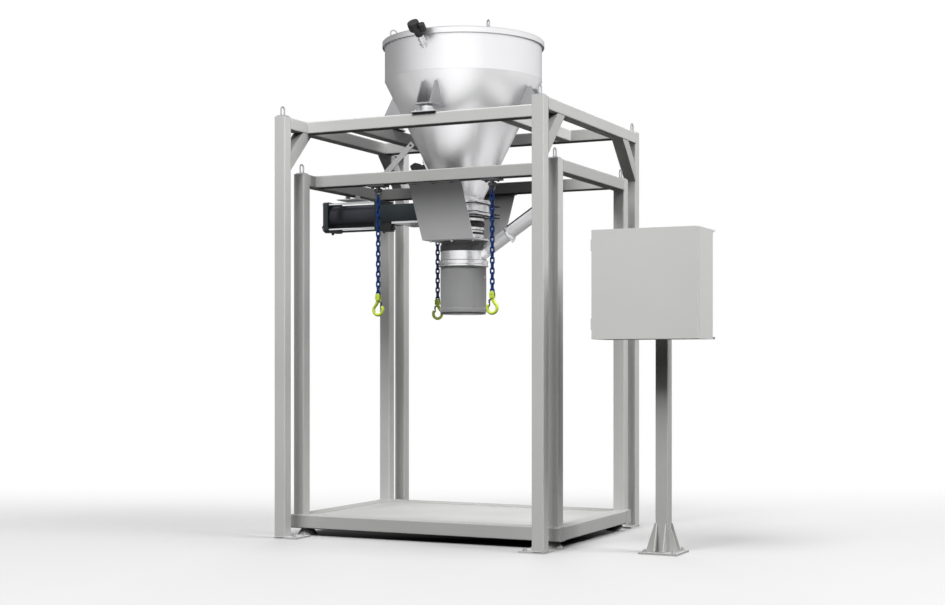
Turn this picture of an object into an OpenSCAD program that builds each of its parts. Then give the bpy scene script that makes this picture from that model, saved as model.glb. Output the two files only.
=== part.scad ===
// Bulk bag filling machine.
// An outer frame carries a weighing hopper on four load cells. A knife gate under the
// hopper opens into a flexible sleeve and a filling spout, which hangs in a cradle from an
// inner frame. Four chains with open hooks hang from the inner frame over a low deck. A
// control cabinet stands beside the machine on its own post.
// The origin is on the floor below the spout; +X is to the right, +Y is to the back.

/* [Outer frame] */
// Width over the outer posts
frame_w = 1900; // [1800:10:2100]
// Depth over the outer posts
frame_d = 1722; // [1680:2:1900]
// Height of the outer frame
frame_h = 2745; // [2700:5:2800]
// Side of the square tube
tube = 80; // [70:1:85]
// Wall of the square tube
tube_wall = 5; // [3:0.5:7]
// Outside corner radius of the square tube
tube_r = 8; // [7.5:0.5:12]
// Thickness of the end plate that closes a post's top
end_plate_t = 5; // [4:1:10]
// Width of a floor plate under an outer post
foot_w = 165; // [150:5:190]
// Depth of a floor plate under an outer post
foot_d = 180; // [160:5:190]
// Thickness of every floor plate
foot_t = 12; // [8:1:16]
// Radius of an anchor hole in a floor plate
anchor_r = 9; // [6:0.5:11]
// Distance of an anchor hole from a floor plate's edge
anchor_edge = 30; // [20:1:35]
// Reach of a knee brace along the post and along the beam
brace_leg = 205; // [180:5:260]

/* [Lifting eyes] */
// Side of the square pad under a lifting eye
eye_pad_w = 60; // [55:1:65]
// Thickness of the pad under a lifting eye
eye_pad_t = 8; // [6:1:12]
// Depth of a lifting eye
eye_d = 50; // [44:1:54]
// Thickness of a lifting eye
eye_t = 20; // [14:1:24]
// Height of a lifting eye above its pad
eye_h = 62; // [58:1:75]
// Radius of the ends of the slot in a lifting eye
eye_slot_r = 12; // [9:0.5:14]

/* [Inner frame] */
// Depth over the inner posts
inner_d = 1256; // [1200:4:1300]
// Height of the inner frame
inner_h = 2396; // [2390:2:2410]
// Distance of each inner cross beam from the middle
inner_cross_y = 434; // [420:1:450]

/* [Base] */
// Height of the feet under the base
base_z = 48; // [40:1:70]
// Height of the base rails
base_h = 90; // [80:1:100]
// Width of the base rails
base_rail_w = 90; // [82:1:100]
// How far the base stands out round the inner posts
base_lip = 12; // [6:1:20]
// Thickness of the deck plate
deck_t = 8; // [5:1:12]
// How far the deck plate lies below the rails
deck_drop = 10; // [4:1:20]
// Distance of each joist from the middle
joist_y = 190; // [150:5:260]
// Radius of a foot under the base
base_foot_r = 64; // [56:1:76]
// Radius of a foot's top
base_foot_top_r = 36; // [24:1:44]
// Height of a foot's straight edge
base_foot_edge = 8; // [4:1:14]
// Distance of a foot's middle from the outer faces of the rails
base_foot_inset = 80; // [76:1:90]

/* [Hopper] */
// Outside radius of the hopper
hopper_r = 529; // [500:1:534]
// Thickness of the hopper's wall
hopper_wall = 4; // [3:0.5:6]
// Height of the hopper's top edge
hopper_top = 3290; // [3240:5:3340]
// Height of the hopper's straight drum
drum_h = 258; // [230:2:290]
// Height where the cone ends
cone_bottom = 2252; // [2246:1:2270]
// Outside radius of the outlet
outlet_r = 139; // [136:0.5:142]
// Outside radius of the outlet flange
outlet_flange_r = 178; // [170:1:184]
// Thickness of the outlet flange
outlet_flange_t = 8; // [6:1:12]
// Width of the rim flange at the hopper's top
rim_w = 11; // [8:1:14]
// Thickness of the rim flange and of the cover plate
cover_t = 7; // [5:1:10]
// Depth of the cover's skirt
skirt_h = 38; // [30:1:50]
// Thickness of the cover's skirt
skirt_t = 3; // [2:0.5:4]
// Gap between the rim flange and the skirt
skirt_gap = 3; // [1:0.5:5]
// Outside radius of the inlet collar
inlet_r = 150; // [120:1:180]
// Height of the inlet collar above the cover
inlet_h = 80; // [60:5:85]
// Width of the inlet collar's foot flange
inlet_flange_w = 35; // [25:1:50]
// Distance of the cover's lifting eyes from the middle
cover_eye_r = 490; // [440:5:495]
// Centre radius of a ring on the cover
cover_ring_r = 20; // [16:1:24]
// Thickness of a ring on the cover
cover_ring_t = 12; // [8:1:14]

/* [Load cells] */
// Distance of each load cell from the hopper's axis
cell_r = 540; // [535:1:545]
// Width of a load cell's base plate
cell_plate_w = 150; // [130:5:170]
// Length of a load cell's base plate across its beam
cell_plate_l = 110; // [90:5:130]
// Thickness of a load cell's base plate
cell_plate_t = 12; // [8:1:16]
// Radius of a load cell's body
cell_body_r = 36; // [28:1:40]
// Height of a load cell's body
cell_body_h = 30; // [20:1:34]
// Radius of a load cell's button
cell_button_r = 18; // [12:1:24]
// Height of a load cell's button
cell_button_h = 14; // [8:1:20]
// Width of a hopper bracket's seat
seat_w = 130; // [110:2:150]
// Thickness of a hopper bracket's seat
seat_t = 10; // [8:1:14]
// Reach of a hopper bracket's seat beyond the load cell
seat_reach = 52; // [45:1:60]
// Thickness of a hopper bracket's gussets
gusset_t = 8; // [6:1:12]
// Height of a hopper bracket's gussets
gusset_h = 150; // [120:5:180]
// Width of the gussets' top edge
gusset_top = 22; // [14:1:40]

/* [Level sensor] */
// Depth of the sensor below the hopper's top edge
sensor_drop = 90; // [85:5:110]
// Direction of the level sensor round the hopper
sensor_turn = -93; // [-105:1:-85]
// Upward tilt of the level sensor
sensor_tilt = 45; // [40:1:46]
// Radius of the sensor's nozzle
nozzle_r = 22; // [16:1:26]
// Length of the sensor's nozzle outside the hopper
nozzle_l = 66; // [60:1:74]
// Radius of the sensor's head
head_r = 38; // [32:1:40]
// Length of the sensor's head
head_l = 84; // [70:1:96]

/* [Vibrator] */
// Height of the vibrator on the cone
vibrator_z = 2478; // [2460:2:2520]
// Radius of the vibrator
vibrator_r = 36; // [28:1:44]
// Length of the vibrator
vibrator_l = 110; // [80:5:140]
// Side of the vibrator's mounting pad
pad_w = 110; // [90:5:130]
// Thickness of the vibrator's mounting pad
pad_t = 12; // [8:1:16]

/* [Knife gate] */
// Outside radius of the gate body
gate_r = 186; // [180:1:195]
// Height of the gate body
gate_h = 94; // [90:1:98]
// Radius of the gate's bore
gate_bore_r = 131; // [125:0.5:134]
// Thickness of the blade
blade_t = 12; // [8:1:16]
// Half width of the blade
blade_half = 146; // [140:1:150]
// Distance of the blade's middle below the gate's top
blade_drop = 62; // [50:1:64]
// Length of the bonnet
bonnet_l = 407; // [380:1:420]
// Half width of the bonnet
bonnet_half = 160; // [158:1:170]
// Height of the bonnet
bonnet_h = 118; // [110:1:124]
// Wall of the bonnet
bonnet_wall = 4; // [3:0.5:6]

/* [Air cylinder] */
// Side of the cylinder's square end caps
cap_w = 206; // [196:2:210]
// Length of each end cap
cap_l = 38; // [30:1:44]
// Length of the cylinder over its end caps
cylinder_l = 447; // [440:1:470]
// Outside radius of the barrel
barrel_r = 82; // [74:1:84]
// Wall of the barrel
barrel_wall = 6; // [4:0.5:10]
// Radius of the piston rod
rod_r = 12; // [9:0.5:14]
// Radius of a tie rod
tie_r = 7; // [5:0.5:8]
// Distance of the tie rods from the edges of the caps
tie_edge = 16; // [13:1:20]
// Thickness of the piston
piston_t = 30; // [24:1:34]

/* [Sleeve and spout] */
// Outside radius of the product pipes
pipe_r = 134; // [133:0.5:136]
// Wall of the product pipes
pipe_wall = 4; // [2.5:0.5:6]
// Thickness of the flexible sleeve
sleeve_t = 5; // [3:0.5:8]
// Height of a band clamp
band_h = 18; // [14:1:24]
// Thickness of a band clamp
band_t = 3; // [2:0.5:4]
// Height of the cradle's underside
cradle_z = 1958; // [1950:1:1970]
// Thickness of the cradle's plate
cradle_t = 6; // [4:0.5:10]
// Half width of the cradle
cradle_half = 190; // [180:1:200]
// Half length of the cradle's floor
cradle_floor = 237; // [225:1:250]
// Width of the cradle's top flange
cradle_flange = 32; // [24:1:38]
// Radius of the spout's mounting flange
spout_flange_r = 172; // [165:1:178]
// Thickness of the spout's mounting flange
spout_flange_t = 8; // [6:1:12]
// Height of the dark neck under the cradle
neck_h = 65; // [55:1:75]
// Outside radius of the neck
neck_r = 150; // [146:1:156]
// Height of the dust plenum
plenum_h = 63; // [56:1:90]
// Outside radius of the dust plenum
plenum_r = 153; // [148:1:160]
// Height of the spout's clamp ring
clamp_h = 41; // [30:1:50]
// Outside radius of the clamp ring
clamp_r = 168; // [163:1:176]
// Height of the neck seal
seal_h = 310; // [280:5:340]
// Outside radius of the neck seal
seal_r = 155; // [150:1:160]
// How much smaller the seal's top is, inside the clamp
seal_tuck = 1; // [0.8:0.1:2]
// Height of the lip below the neck seal
lip_h = 9; // [6:1:14]
// Outside radius of the dust pipe
vent_r = 42; // [34:1:44]
// Wall of the dust pipe
vent_wall = 3; // [2:0.5:4]
// Rise of the dust pipe
vent_rise = 33; // [28:1:36]
// Length of the dust pipe from the spout's axis
vent_l = 740; // [650:10:800]
// Length of the dust pipe's end for a hose
port_l = 120; // [100:5:140]
// How much smaller the dust pipe's end is
port_step = 1; // [0.6:0.1:1.2]

/* [Chains and hooks] */
// Distance of each chain from the middle
chain_x = 415; // [395:5:450]
// Inside length of a chain link
link_pitch = 33.7; // [33:0.1:35]
// Thickness of the chain's wire
link_wire = 10; // [9:0.5:10]
// Outside width of a chain link
link_w = 34; // [33:0.5:36]
// Number of links in a chain
link_count = 20; // [18:2:22]
// Length of a hanger plate under the beam
hanger_l = 124; // [110:2:140]
// Thickness of a hanger plate
hanger_t = 12; // [10:1:14]
// Thickness of a hanger's lug
lug_t = 16; // [12:0.5:16]
// Radius of a hanger's lug
lug_r = 16; // [13:0.5:18]
// Radius of a shackle's pin
shackle_pin_r = 7; // [6:0.5:8]
// Thickness of a shackle's bow
bow_wire = 12; // [10:0.5:12]
// Centre radius of a shackle's bow
bow_r = 17; // [17:0.5:19]
// Distance from a shackle's pin to the centre of its bow
bow_drop = 25; // [24:1:30]
// Distance from a hook's pin to the centre of its bowl
hook_drop = 92; // [88:1:100]
// Centre radius of a hook's bowl
hook_r = 34; // [32:1:38]
// Radius of a hook's section
hook_bar = 10; // [8:0.5:11]
// Thickness of a hook's latch
latch_t = 2.5; // [2:0.5:3]

/* [Control cabinet] */
// Width of the cabinet
cabinet_w = 650; // [600:10:700]
// Height of the cabinet
cabinet_h = 646; // [600:2:700]
// Depth of the cabinet over its door
cabinet_d = 298; // [270:2:320]
// Height of the cabinet's underside
cabinet_z = 1281; // [1200:1:1350]
// Distance of the cabinet's middle from the machine's middle
cabinet_x = 1566; // [1500:2:1650]
// Wall of the cabinet
sheet_t = 2; // [1.5:0.5:3]
// Thickness of the door
door_t = 22; // [18:1:30]
// Gap between the door and the cabinet
door_gap = 2; // [1:0.5:4]
// Width of the cabinet's front flange
front_flange = 26; // [18:1:40]
// Distance of the stand's post from the machine's middle
stand_x = 1575; // [1500:5:1650]
// Distance of the stand's post in front of the machine's middle
stand_y = 490; // [400:5:600]
// Side of the stand's floor plate
stand_foot_w = 240; // [220:5:280]
// Height of the stand's gussets
stand_gusset_h = 168; // [120:4:220]
// Reach of the stand's gussets
stand_gusset_l = 60; // [45:1:65]

/* [Hidden] */
// Clearance between pieces that lie close without touching
fit = 0.3;
// Clearance on each side of the sliding blade
blade_fit = 0.5;
// Radial clearance of a sliding rod or a turning pin
running_fit = 0.05;
// Extra length of a cut past a face
past = 1;
$fn = 64;

// Heights and places that follow from the sizes above
beam_z = frame_h - tube;
post_x = frame_w / 2 - tube / 2;
post_y = frame_d / 2 - tube / 2;
inner_post_y = inner_d / 2 - tube / 2;
inner_beam_z = inner_h - tube;
base_top = base_z + base_h;
base_w = frame_w + 2 * base_lip;
base_d = inner_d + 2 * base_lip;
deck_top = base_top - deck_drop;
deck_z = deck_top - deck_t;
full_turn = 360;
outlet_collar = 22;
cone_top = hopper_top - drum_h;
sensor_z = hopper_top - sensor_drop;
gate_top = cone_bottom - outlet_collar - outlet_flange_t;
gate_bottom = gate_top - gate_h;
blade_z = gate_top - blade_drop;
cover_z = hopper_top;
seat_z = frame_h + cell_plate_t + cell_body_h + cell_button_h;
bonnet_x = -gate_r - bonnet_l;
barrel_x = bonnet_x - cap_l;
rear_cap_x = bonnet_x - cylinder_l + cap_l;
pipe_bore = pipe_r - pipe_wall;
sleeve_r = pipe_r + fit + sleeve_t;
// The sleeve hangs just below the gate, and laps over the pipes at both its ends
sleeve_drop = 4;
sleeve_top = gate_bottom - sleeve_drop;
sleeve_h = 94;
sleeve_low = sleeve_top - sleeve_h;
sleeve_lap = 34;
neck_z = cradle_z - neck_h;
plenum_z = neck_z - plenum_h;
seal_z = plenum_z - clamp_h - seal_h;
lip_z = seal_z - lip_h;
vent_z = plenum_z + vent_r / cos(vent_rise) + past;
link_step = link_pitch - fit;
hanger_z = inner_beam_z - hanger_t;
pin_drop = 22;
shackle_z = hanger_z - pin_drop;
bow_z = shackle_z - bow_drop;
first_link_z = bow_z - bow_r + bow_wire / 2 + fit - link_pitch / 2;
last_link_z = first_link_z - (link_count - 1) * link_step;
hook_pin_r = 6;
hook_z = last_link_z - link_pitch / 2 + hook_pin_r + fit;
bowl_z = hook_z - hook_drop;
// The pivot of a latch, from the hook's own axis and below the hook's pin
latch_x = 13;
latch_drop = 38;
latch_z = hook_z - latch_drop;
latch_pin_r = 2.5;
latch_lug_half = 5;
// Where the hook's tip ends round its bowl, and how far its ends swell
tip_turn = 25;
tip_swell = 0.6;
cabinet_y = -stand_y - tube / 2;
cabinet_left = cabinet_x - cabinet_w / 2;
door_y = cabinet_y - cabinet_d;
door_back = door_y + door_t;
shell_front = door_back + door_gap;
// The hinges of the cabinet's door, outside its left wall
hinge_out = 7;
hinge_x = cabinet_left - hinge_out;
hinge_y = door_back + door_gap / 2;
hinge_edge = 90;
hinge_heights = [cabinet_z + hinge_edge, cabinet_z + cabinet_h - hinge_edge];
knuckle_r = 6;
knuckle_h = 22;
hinge_pin_r = 3;
leaf_t = 4;
// The plate inside the cabinet: its edge distance, thickness and studs
plate_margin = 45;
plate_t = 3;
stud_l = 18;

// Radius of the cone's outside at a height
function cone_r(z) =
    outlet_r + (hopper_r - outlet_r) * (z - cone_bottom) / (cone_top - cone_bottom);

// Colours of the finishes
paint_grey = [0.78, 0.78, 0.77];
steel = [0.80, 0.81, 0.82];
dark_steel = [0.45, 0.46, 0.47];
slate = [0.20, 0.22, 0.25];
black = [0.08, 0.08, 0.09];
chain_blue = [0.06, 0.16, 0.42];
hook_lime = [0.72, 0.80, 0.20];
seal_grey = [0.57, 0.58, 0.58];

// Shapes that several pieces share

// A rectangle with round corners, centred
module rounded_rect(w, d, r) {
    square([w - 2 * r, d], center = true);
    square([w, d - 2 * r], center = true);
    for (x = [-1, 1], y = [-1, 1])
        translate([x * (w / 2 - r), y * (d / 2 - r)]) circle(r);
}

// The section of the frame's square tube
module tube_section(w = tube, d = tube) {
    difference() {
        rounded_rect(w, d, tube_r);
        rounded_rect(w - 2 * tube_wall, d - 2 * tube_wall, tube_r - tube_wall);
    }
}

// A tube along X, centred on its own axis
module tube_x(l, w = tube, d = tube) {
    translate([-l / 2, 0, 0]) rotate([90, 0, 90]) linear_extrude(l) tube_section(w, d);
}

// A tube along Y, centred on its own axis
module tube_y(l, w = tube, d = tube) {
    translate([0, l / 2, 0]) rotate([90, 0, 0]) linear_extrude(l) tube_section(w, d);
}

// A round bar or pipe along X from the origin
module bar_x(r, l) {
    rotate([0, 90, 0]) cylinder(r = r, h = l);
}

// A round bar along Y, centred
module bar_y(r, l) {
    rotate([90, 0, 0]) cylinder(r = r, h = l, center = true);
}

// A hexagonal bolt head that hangs down from the origin
module hex_head(r, h) {
    translate([0, 0, -h]) cylinder(r = r, h = h, $fn = 6);
}

// A ring of rectangular section
module flat_ring(inside, outside, h) {
    difference() {
        cylinder(r = outside, h = h);
        translate([0, 0, -past]) cylinder(r = inside, h = h + 2 * past);
    }
}

// A round bar bent to an arc in the XZ plane, from one angle to another
module bent_bar(centre_r, r, from, to) {
    rotate([90, 0, 0]) rotate([0, 0, from])
        rotate_extrude(angle = to - from) translate([centre_r, 0]) circle(r);
}

// The outside of the hopper as one solid, grown by a clearance
module hopper_outside(grow) {
    rotate_extrude() polygon([
        [0, cone_bottom - outlet_collar], [outlet_r + grow, cone_bottom - outlet_collar],
        [outlet_r + grow, cone_bottom], [hopper_r + grow, cone_top],
        [hopper_r + grow, hopper_top - cover_t], [0, hopper_top - cover_t]
    ]);
}

// Outer frame

// One outer post with its floor plate, its corner towards +X and +Y
module outer_post() {
    translate([0, 0, foot_t]) linear_extrude(frame_h - foot_t) tube_section();
    translate([0, 0, frame_h - end_plate_t])
        linear_extrude(end_plate_t) rounded_rect(tube, tube, tube_r);
    difference() {
        translate([tube / 2 - foot_w, tube / 2 - foot_d, 0]) cube([foot_w, foot_d, foot_t]);
        for (y = [tube / 2 - anchor_edge, tube / 2 - foot_d + anchor_edge])
            translate([tube / 2 - foot_w + anchor_edge, y, -past])
                cylinder(r = anchor_r, h = foot_t + 2 * past);
    }
}

module outer_posts() {
    color(paint_grey) for (x = [0, 1], y = [0, 1])
        mirror([x, 0, 0]) mirror([0, y, 0]) translate([post_x, post_y, 0]) outer_post();
}

module outer_side_beams() {
    color(paint_grey) for (x = [-1, 1])
        translate([x * post_x, 0, beam_z + tube / 2]) tube_y(frame_d - 2 * tube);
}

module outer_cross_beams() {
    color(paint_grey) for (y = [-1, 1])
        translate([0, y * cell_r, beam_z + tube / 2]) tube_x(frame_w - 2 * tube);
}

module hopper_rails() {
    color(paint_grey) for (x = [-1, 1])
        translate([x * cell_r, 0, beam_z + tube / 2]) tube_y(2 * cell_r - tube);
}

// One knee brace: a tube cut at 45 degrees at both ends
module knee_brace() {
    half_cut = tube * sqrt(2) / 2;
    wall_cut = tube_wall * sqrt(2);
    difference() {
        linear_extrude(tube, center = true) polygon([
            [0, -brace_leg - half_cut], [0, -brace_leg + half_cut],
            [-brace_leg + half_cut, 0], [-brace_leg - half_cut, 0]
        ]);
        linear_extrude(tube - 2 * tube_wall, center = true) polygon([
            [past, -brace_leg - half_cut + wall_cut - past],
            [past, -brace_leg + half_cut - wall_cut - past],
            [-brace_leg + half_cut - wall_cut - past, past],
            [-brace_leg - half_cut + wall_cut - past, past]
        ]);
    }
}

module knee_braces() {
    color(paint_grey) for (x = [-1, 1], y = [0, 1])
        mirror([0, y, 0]) translate([x * post_x, frame_d / 2 - tube, beam_z])
            rotate([90, 0, 90]) knee_brace();
}

// A thick lifting eye with a round top and a slot, on a pad
module post_eye() {
    translate([-eye_pad_w / 2, -eye_pad_w / 2, 0]) cube([eye_pad_w, eye_pad_w, eye_pad_t]);
    translate([0, 0, eye_pad_t]) rotate([90, 0, 90]) linear_extrude(eye_t, center = true)
        difference() {
            union() {
                translate([-eye_d / 2, 0]) square([eye_d, eye_h - eye_d / 2]);
                translate([0, eye_h - eye_d / 2]) circle(eye_d / 2);
            }
            translate([0, eye_h - eye_d / 2]) circle(eye_slot_r);
            translate([-eye_slot_r, eye_slot_r + tube_wall])
                square([2 * eye_slot_r, eye_h - eye_d / 2 - eye_slot_r - tube_wall]);
            translate([0, eye_slot_r + tube_wall]) circle(eye_slot_r);
        }
}

// A ring on a round foot, for lifting the cover
module cover_eye() {
    foot_h = 10;
    sunk = 4;
    cylinder(r = cover_ring_r, h = foot_h);
    translate([0, 0, foot_h + cover_ring_r + cover_ring_t / 2 - sunk])
        rotate([90, 0, 0]) rotate_extrude() translate([cover_ring_r, 0]) circle(cover_ring_t / 2);
}

module lifting_eyes() {
    color(steel) {
        for (x = [-1, 1], y = [-1, 1]) {
            translate([x * post_x, y * post_y, frame_h]) post_eye();
            translate([x * post_x, y * inner_post_y, inner_h]) post_eye();
        }
        for (turn = [45 : 90 : 315])
            rotate([0, 0, turn]) translate([cover_eye_r, 0, cover_z + cover_t]) cover_eye();
    }
}

// Inner frame and base

module inner_posts() {
    color(paint_grey) for (x = [-1, 1], y = [-1, 1])
        translate([x * post_x, y * inner_post_y, base_top]) {
            linear_extrude(inner_h - base_top) tube_section();
            translate([0, 0, inner_h - base_top - end_plate_t])
                linear_extrude(end_plate_t) rounded_rect(tube, tube, tube_r);
        }
}

module inner_side_beams() {
    color(paint_grey) for (x = [-1, 1])
        translate([x * post_x, 0, inner_beam_z + tube / 2]) tube_y(inner_d - 2 * tube);
}

module inner_cross_beams() {
    color(paint_grey) for (y = [-1, 1])
        translate([0, y * inner_cross_y, inner_beam_z + tube / 2]) tube_x(frame_w - 2 * tube);
}

// Rails across the front and the back, and two joists under the deck
module base_cross_rails() {
    joist_h = deck_z - base_z;
    color(paint_grey) {
        for (y = [-1, 1]) {
            translate([0, y * (base_d - base_rail_w) / 2, base_z + base_h / 2])
                tube_x(base_w, base_rail_w, base_h);
            translate([0, y * joist_y, base_z + joist_h / 2])
                tube_x(base_w - 2 * base_rail_w, tube, joist_h);
        }
    }
}

module base_side_rails() {
    color(paint_grey) for (x = [-1, 1])
        translate([x * (base_w - base_rail_w) / 2, 0, base_z + base_h / 2])
            tube_y(base_d - 2 * base_rail_w, base_rail_w, base_h);
}

module deck_plate() {
    color(paint_grey) translate([0, 0, deck_z + deck_t / 2])
        cube([base_w - 2 * base_rail_w, base_d - 2 * base_rail_w, deck_t], center = true);
}

module base_feet() {
    color(paint_grey) for (x = [-1, 1], y = [-1, 1])
        translate([x * (base_w / 2 - base_foot_inset), y * (base_d / 2 - base_foot_inset), 0]) {
            cylinder(r = base_foot_r, h = base_foot_edge);
            translate([0, 0, base_foot_edge])
                cylinder(r1 = base_foot_r, r2 = base_foot_top_r, h = base_z - base_foot_edge);
        }
}

// Hopper

module hopper_shell() {
    slope = (hopper_r - outlet_r) / (cone_top - cone_bottom);
    // Wall measured level, through the slanted cone
    level_wall = hopper_wall * sqrt(1 + slope * slope);
    bend = (level_wall - hopper_wall) / slope;
    bore = outlet_r - hopper_wall;
    color(steel) rotate_extrude($fn = 128) polygon([
        [bore, gate_top], [outlet_flange_r, gate_top],
        [outlet_flange_r, gate_top + outlet_flange_t], [outlet_r, gate_top + outlet_flange_t],
        [outlet_r, cone_bottom], [hopper_r, cone_top], [hopper_r, hopper_top - cover_t],
        [hopper_r + rim_w, hopper_top - cover_t], [hopper_r + rim_w, hopper_top],
        [hopper_r - hopper_wall, hopper_top], [hopper_r - hopper_wall, cone_top + bend],
        [bore, cone_bottom + bend]
    ]);
}

module hopper_cover() {
    skirt_r = hopper_r + rim_w + skirt_gap;
    hole = inlet_r - hopper_wall;
    color(steel) rotate_extrude($fn = 128) polygon([
        [hole, cover_z], [skirt_r, cover_z], [skirt_r, cover_z + cover_t - skirt_h],
        [skirt_r + skirt_t, cover_z + cover_t - skirt_h], [skirt_r + skirt_t, cover_z + cover_t],
        [hole, cover_z + cover_t]
    ]);
}

module inlet_collar() {
    foot = cover_z + cover_t;
    color(steel) rotate_extrude($fn = 96) polygon([
        [inlet_r - hopper_wall, foot], [inlet_r + inlet_flange_w, foot],
        [inlet_r + inlet_flange_w, foot + hopper_wall], [inlet_r, foot + hopper_wall],
        [inlet_r, foot + inlet_h], [inlet_r - hopper_wall, foot + inlet_h]
    ]);
}

// One bracket in the direction of +X: a seat over the load cell and two tapered gussets
module hopper_bracket() {
    reach = cell_r + seat_reach;
    top_r = cone_r(seat_z + seat_t + gusset_h);
    inside = cone_r(seat_z) - tube;
    difference() {
        union() {
            translate([inside, -seat_w / 2, seat_z]) cube([reach - inside, seat_w, seat_t]);
            for (y = [-1, 1])
                translate([0, y * (seat_w / 2 - gusset_t * 2), seat_z + seat_t])
                    rotate([90, 0, 0]) linear_extrude(gusset_t, center = true) polygon([
                        [inside, -past], [reach, -past], [reach, gusset_t],
                        [top_r + gusset_top, gusset_h], [inside, gusset_h]
                    ]);
        }
        hopper_outside(fit);
    }
}

module hopper_brackets() {
    color(steel) for (turn = [0 : 90 : 270]) rotate([0, 0, turn]) hopper_bracket();
}

module load_cells() {
    color(steel) for (turn = [0 : 90 : 270]) rotate([0, 0, turn]) translate([cell_r, 0, frame_h]) {
        translate([-cell_plate_l / 2, -cell_plate_w / 2, 0])
            cube([cell_plate_l, cell_plate_w, cell_plate_t]);
        translate([0, 0, cell_plate_t]) cylinder(r = cell_body_r, h = cell_body_h);
        translate([0, 0, cell_plate_t + cell_body_h])
            cylinder(r = cell_button_r, h = cell_button_h);
    }
}

// A nozzle and a nut, then a neck that carries a large and a small chamber side by side
module level_sensor() {
    nut_h = 14;
    neck_l = head_l * 0.5;
    large_l = head_l * 0.7;
    small_l = head_l * 0.62;
    seat = nozzle_l + nut_h;
    color(black) difference() {
        rotate([0, 0, sensor_turn]) translate([hopper_r, 0, sensor_z])
            rotate([0, 90 - sensor_tilt, 0]) {
                translate([0, 0, -nozzle_r * 2]) cylinder(r = nozzle_r, h = nozzle_r * 2 + nozzle_l);
                translate([0, 0, nozzle_l]) cylinder(r = nozzle_r * 1.4, h = nut_h, $fn = 6);
                translate([0, 0, seat]) cylinder(r = head_r * 0.85, h = neck_l);
                translate([0, -head_r * 0.4, seat + head_l - large_l]) cylinder(r = head_r, h = large_l);
                translate([0, head_r, seat + nut_h]) cylinder(r = head_r * 0.6, h = small_l);
            }
        hopper_outside(fit);
    }
}

module vibrator() {
    tilt = atan2(hopper_r - outlet_r, cone_top - cone_bottom);
    body_lift = 5;
    body_z = pad_t + vibrator_r + body_lift;
    foot_w = vibrator_r * 1.6;
    foot_l = vibrator_l * 2 / 3;
    color(black) difference() {
        rotate([0, 0, 180]) translate([cone_r(vibrator_z), 0, vibrator_z])
            rotate([0, 90 + tilt, 0]) {
                translate([-pad_w / 2, -pad_w / 2, -pad_t]) cube([pad_w, pad_w, 2 * pad_t]);
                translate([0, 0, body_z]) bar_y(vibrator_r, vibrator_l);
                translate([-foot_w / 2, -foot_l / 2, 0]) cube([foot_w, foot_l, body_z]);
            }
        hopper_outside(fit);
    }
}

// A flat-bar stay that stands on the inner front beam
module stay_bracket() {
    bar_w = 28;
    bar_t = 8;
    foot_x = -373;
    head_x = -160;
    head_h = 177;
    upright_x = -197;
    eye_r = 18;
    lean = atan2(head_h, head_x - foot_x);
    bar_l = norm([head_h, head_x - foot_x]);
    color(paint_grey) translate([0, -inner_cross_y, inner_h]) rotate([90, 0, 0])
        linear_extrude(bar_t, center = true) difference() {
            union() {
                translate([foot_x, 0]) rotate(lean)
                    translate([-bar_w, -bar_w / 2]) square([bar_l + bar_w, bar_w]);
                translate([head_x, head_h]) circle(eye_r);
                translate([upright_x - bar_w / 2, 0]) square([bar_w, head_h - bar_w]);
            }
            translate([head_x, head_h]) circle(bar_w / 4);
            translate([foot_x - tube, -tube]) square([2 * tube, tube]);
        }
}

// Knife gate

// The space that the blade slides in
module blade_slot(grow) {
    h = blade_t + 2 * grow;
    translate([0, 0, blade_z - h / 2]) {
        cylinder(r = blade_half + grow, h = h);
        translate([-gate_r - past, -blade_half - grow, 0])
            cube([gate_r + past, 2 * (blade_half + grow), h]);
    }
}

// Two round flanges and a round middle, with a square throat for the blade and rails under
// the bonnet
module gate_body() {
    flange_t = 16;
    waist = 10;
    rail_t = 14;
    rail_l = 279;
    rail_z = blade_z - bonnet_h / 2 - rail_t;
    web_l = gate_r - sleeve_r - tube_r;
    color(steel) difference() {
        union() {
            for (z = [gate_top - flange_t, gate_bottom])
                translate([0, 0, z]) cylinder(r = gate_r, h = flange_t);
            translate([0, 0, gate_bottom]) cylinder(r = gate_r - waist, h = gate_h);
            translate([-gate_r, -bonnet_half, gate_bottom])
                cube([gate_r, 2 * bonnet_half, gate_h]);
            translate([0, 0, sleeve_top - sleeve_lap - past])
                cylinder(r = pipe_r, h = gate_bottom - sleeve_top + sleeve_lap + 2 * past);
            translate([-gate_r - rail_l, -bonnet_half, rail_z])
                cube([rail_l + web_l, 2 * bonnet_half, rail_t]);
            translate([-gate_r, -bonnet_half, rail_z])
                cube([web_l, 2 * bonnet_half, gate_bottom - rail_z + past]);
        }
        translate([0, 0, gate_bottom + past]) cylinder(r = gate_bore_r, h = gate_h);
        translate([0, 0, sleeve_low]) cylinder(r = pipe_bore, h = gate_h + sleeve_h);
        blade_slot(blade_fit);
    }
}

module gate_bonnet() {
    color(slate) translate([bonnet_x, 0, blade_z]) difference() {
        translate([0, -bonnet_half, -bonnet_h / 2]) cube([bonnet_l, 2 * bonnet_half, bonnet_h]);
        translate([bonnet_wall, bonnet_wall - bonnet_half, bonnet_wall - bonnet_h / 2])
            cube([bonnet_l, 2 * (bonnet_half - bonnet_wall), bonnet_h - 2 * bonnet_wall]);
        translate([-past, 0, 0]) bar_x(rod_r + bonnet_wall, bonnet_wall + 2 * past);
    }
}

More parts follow.
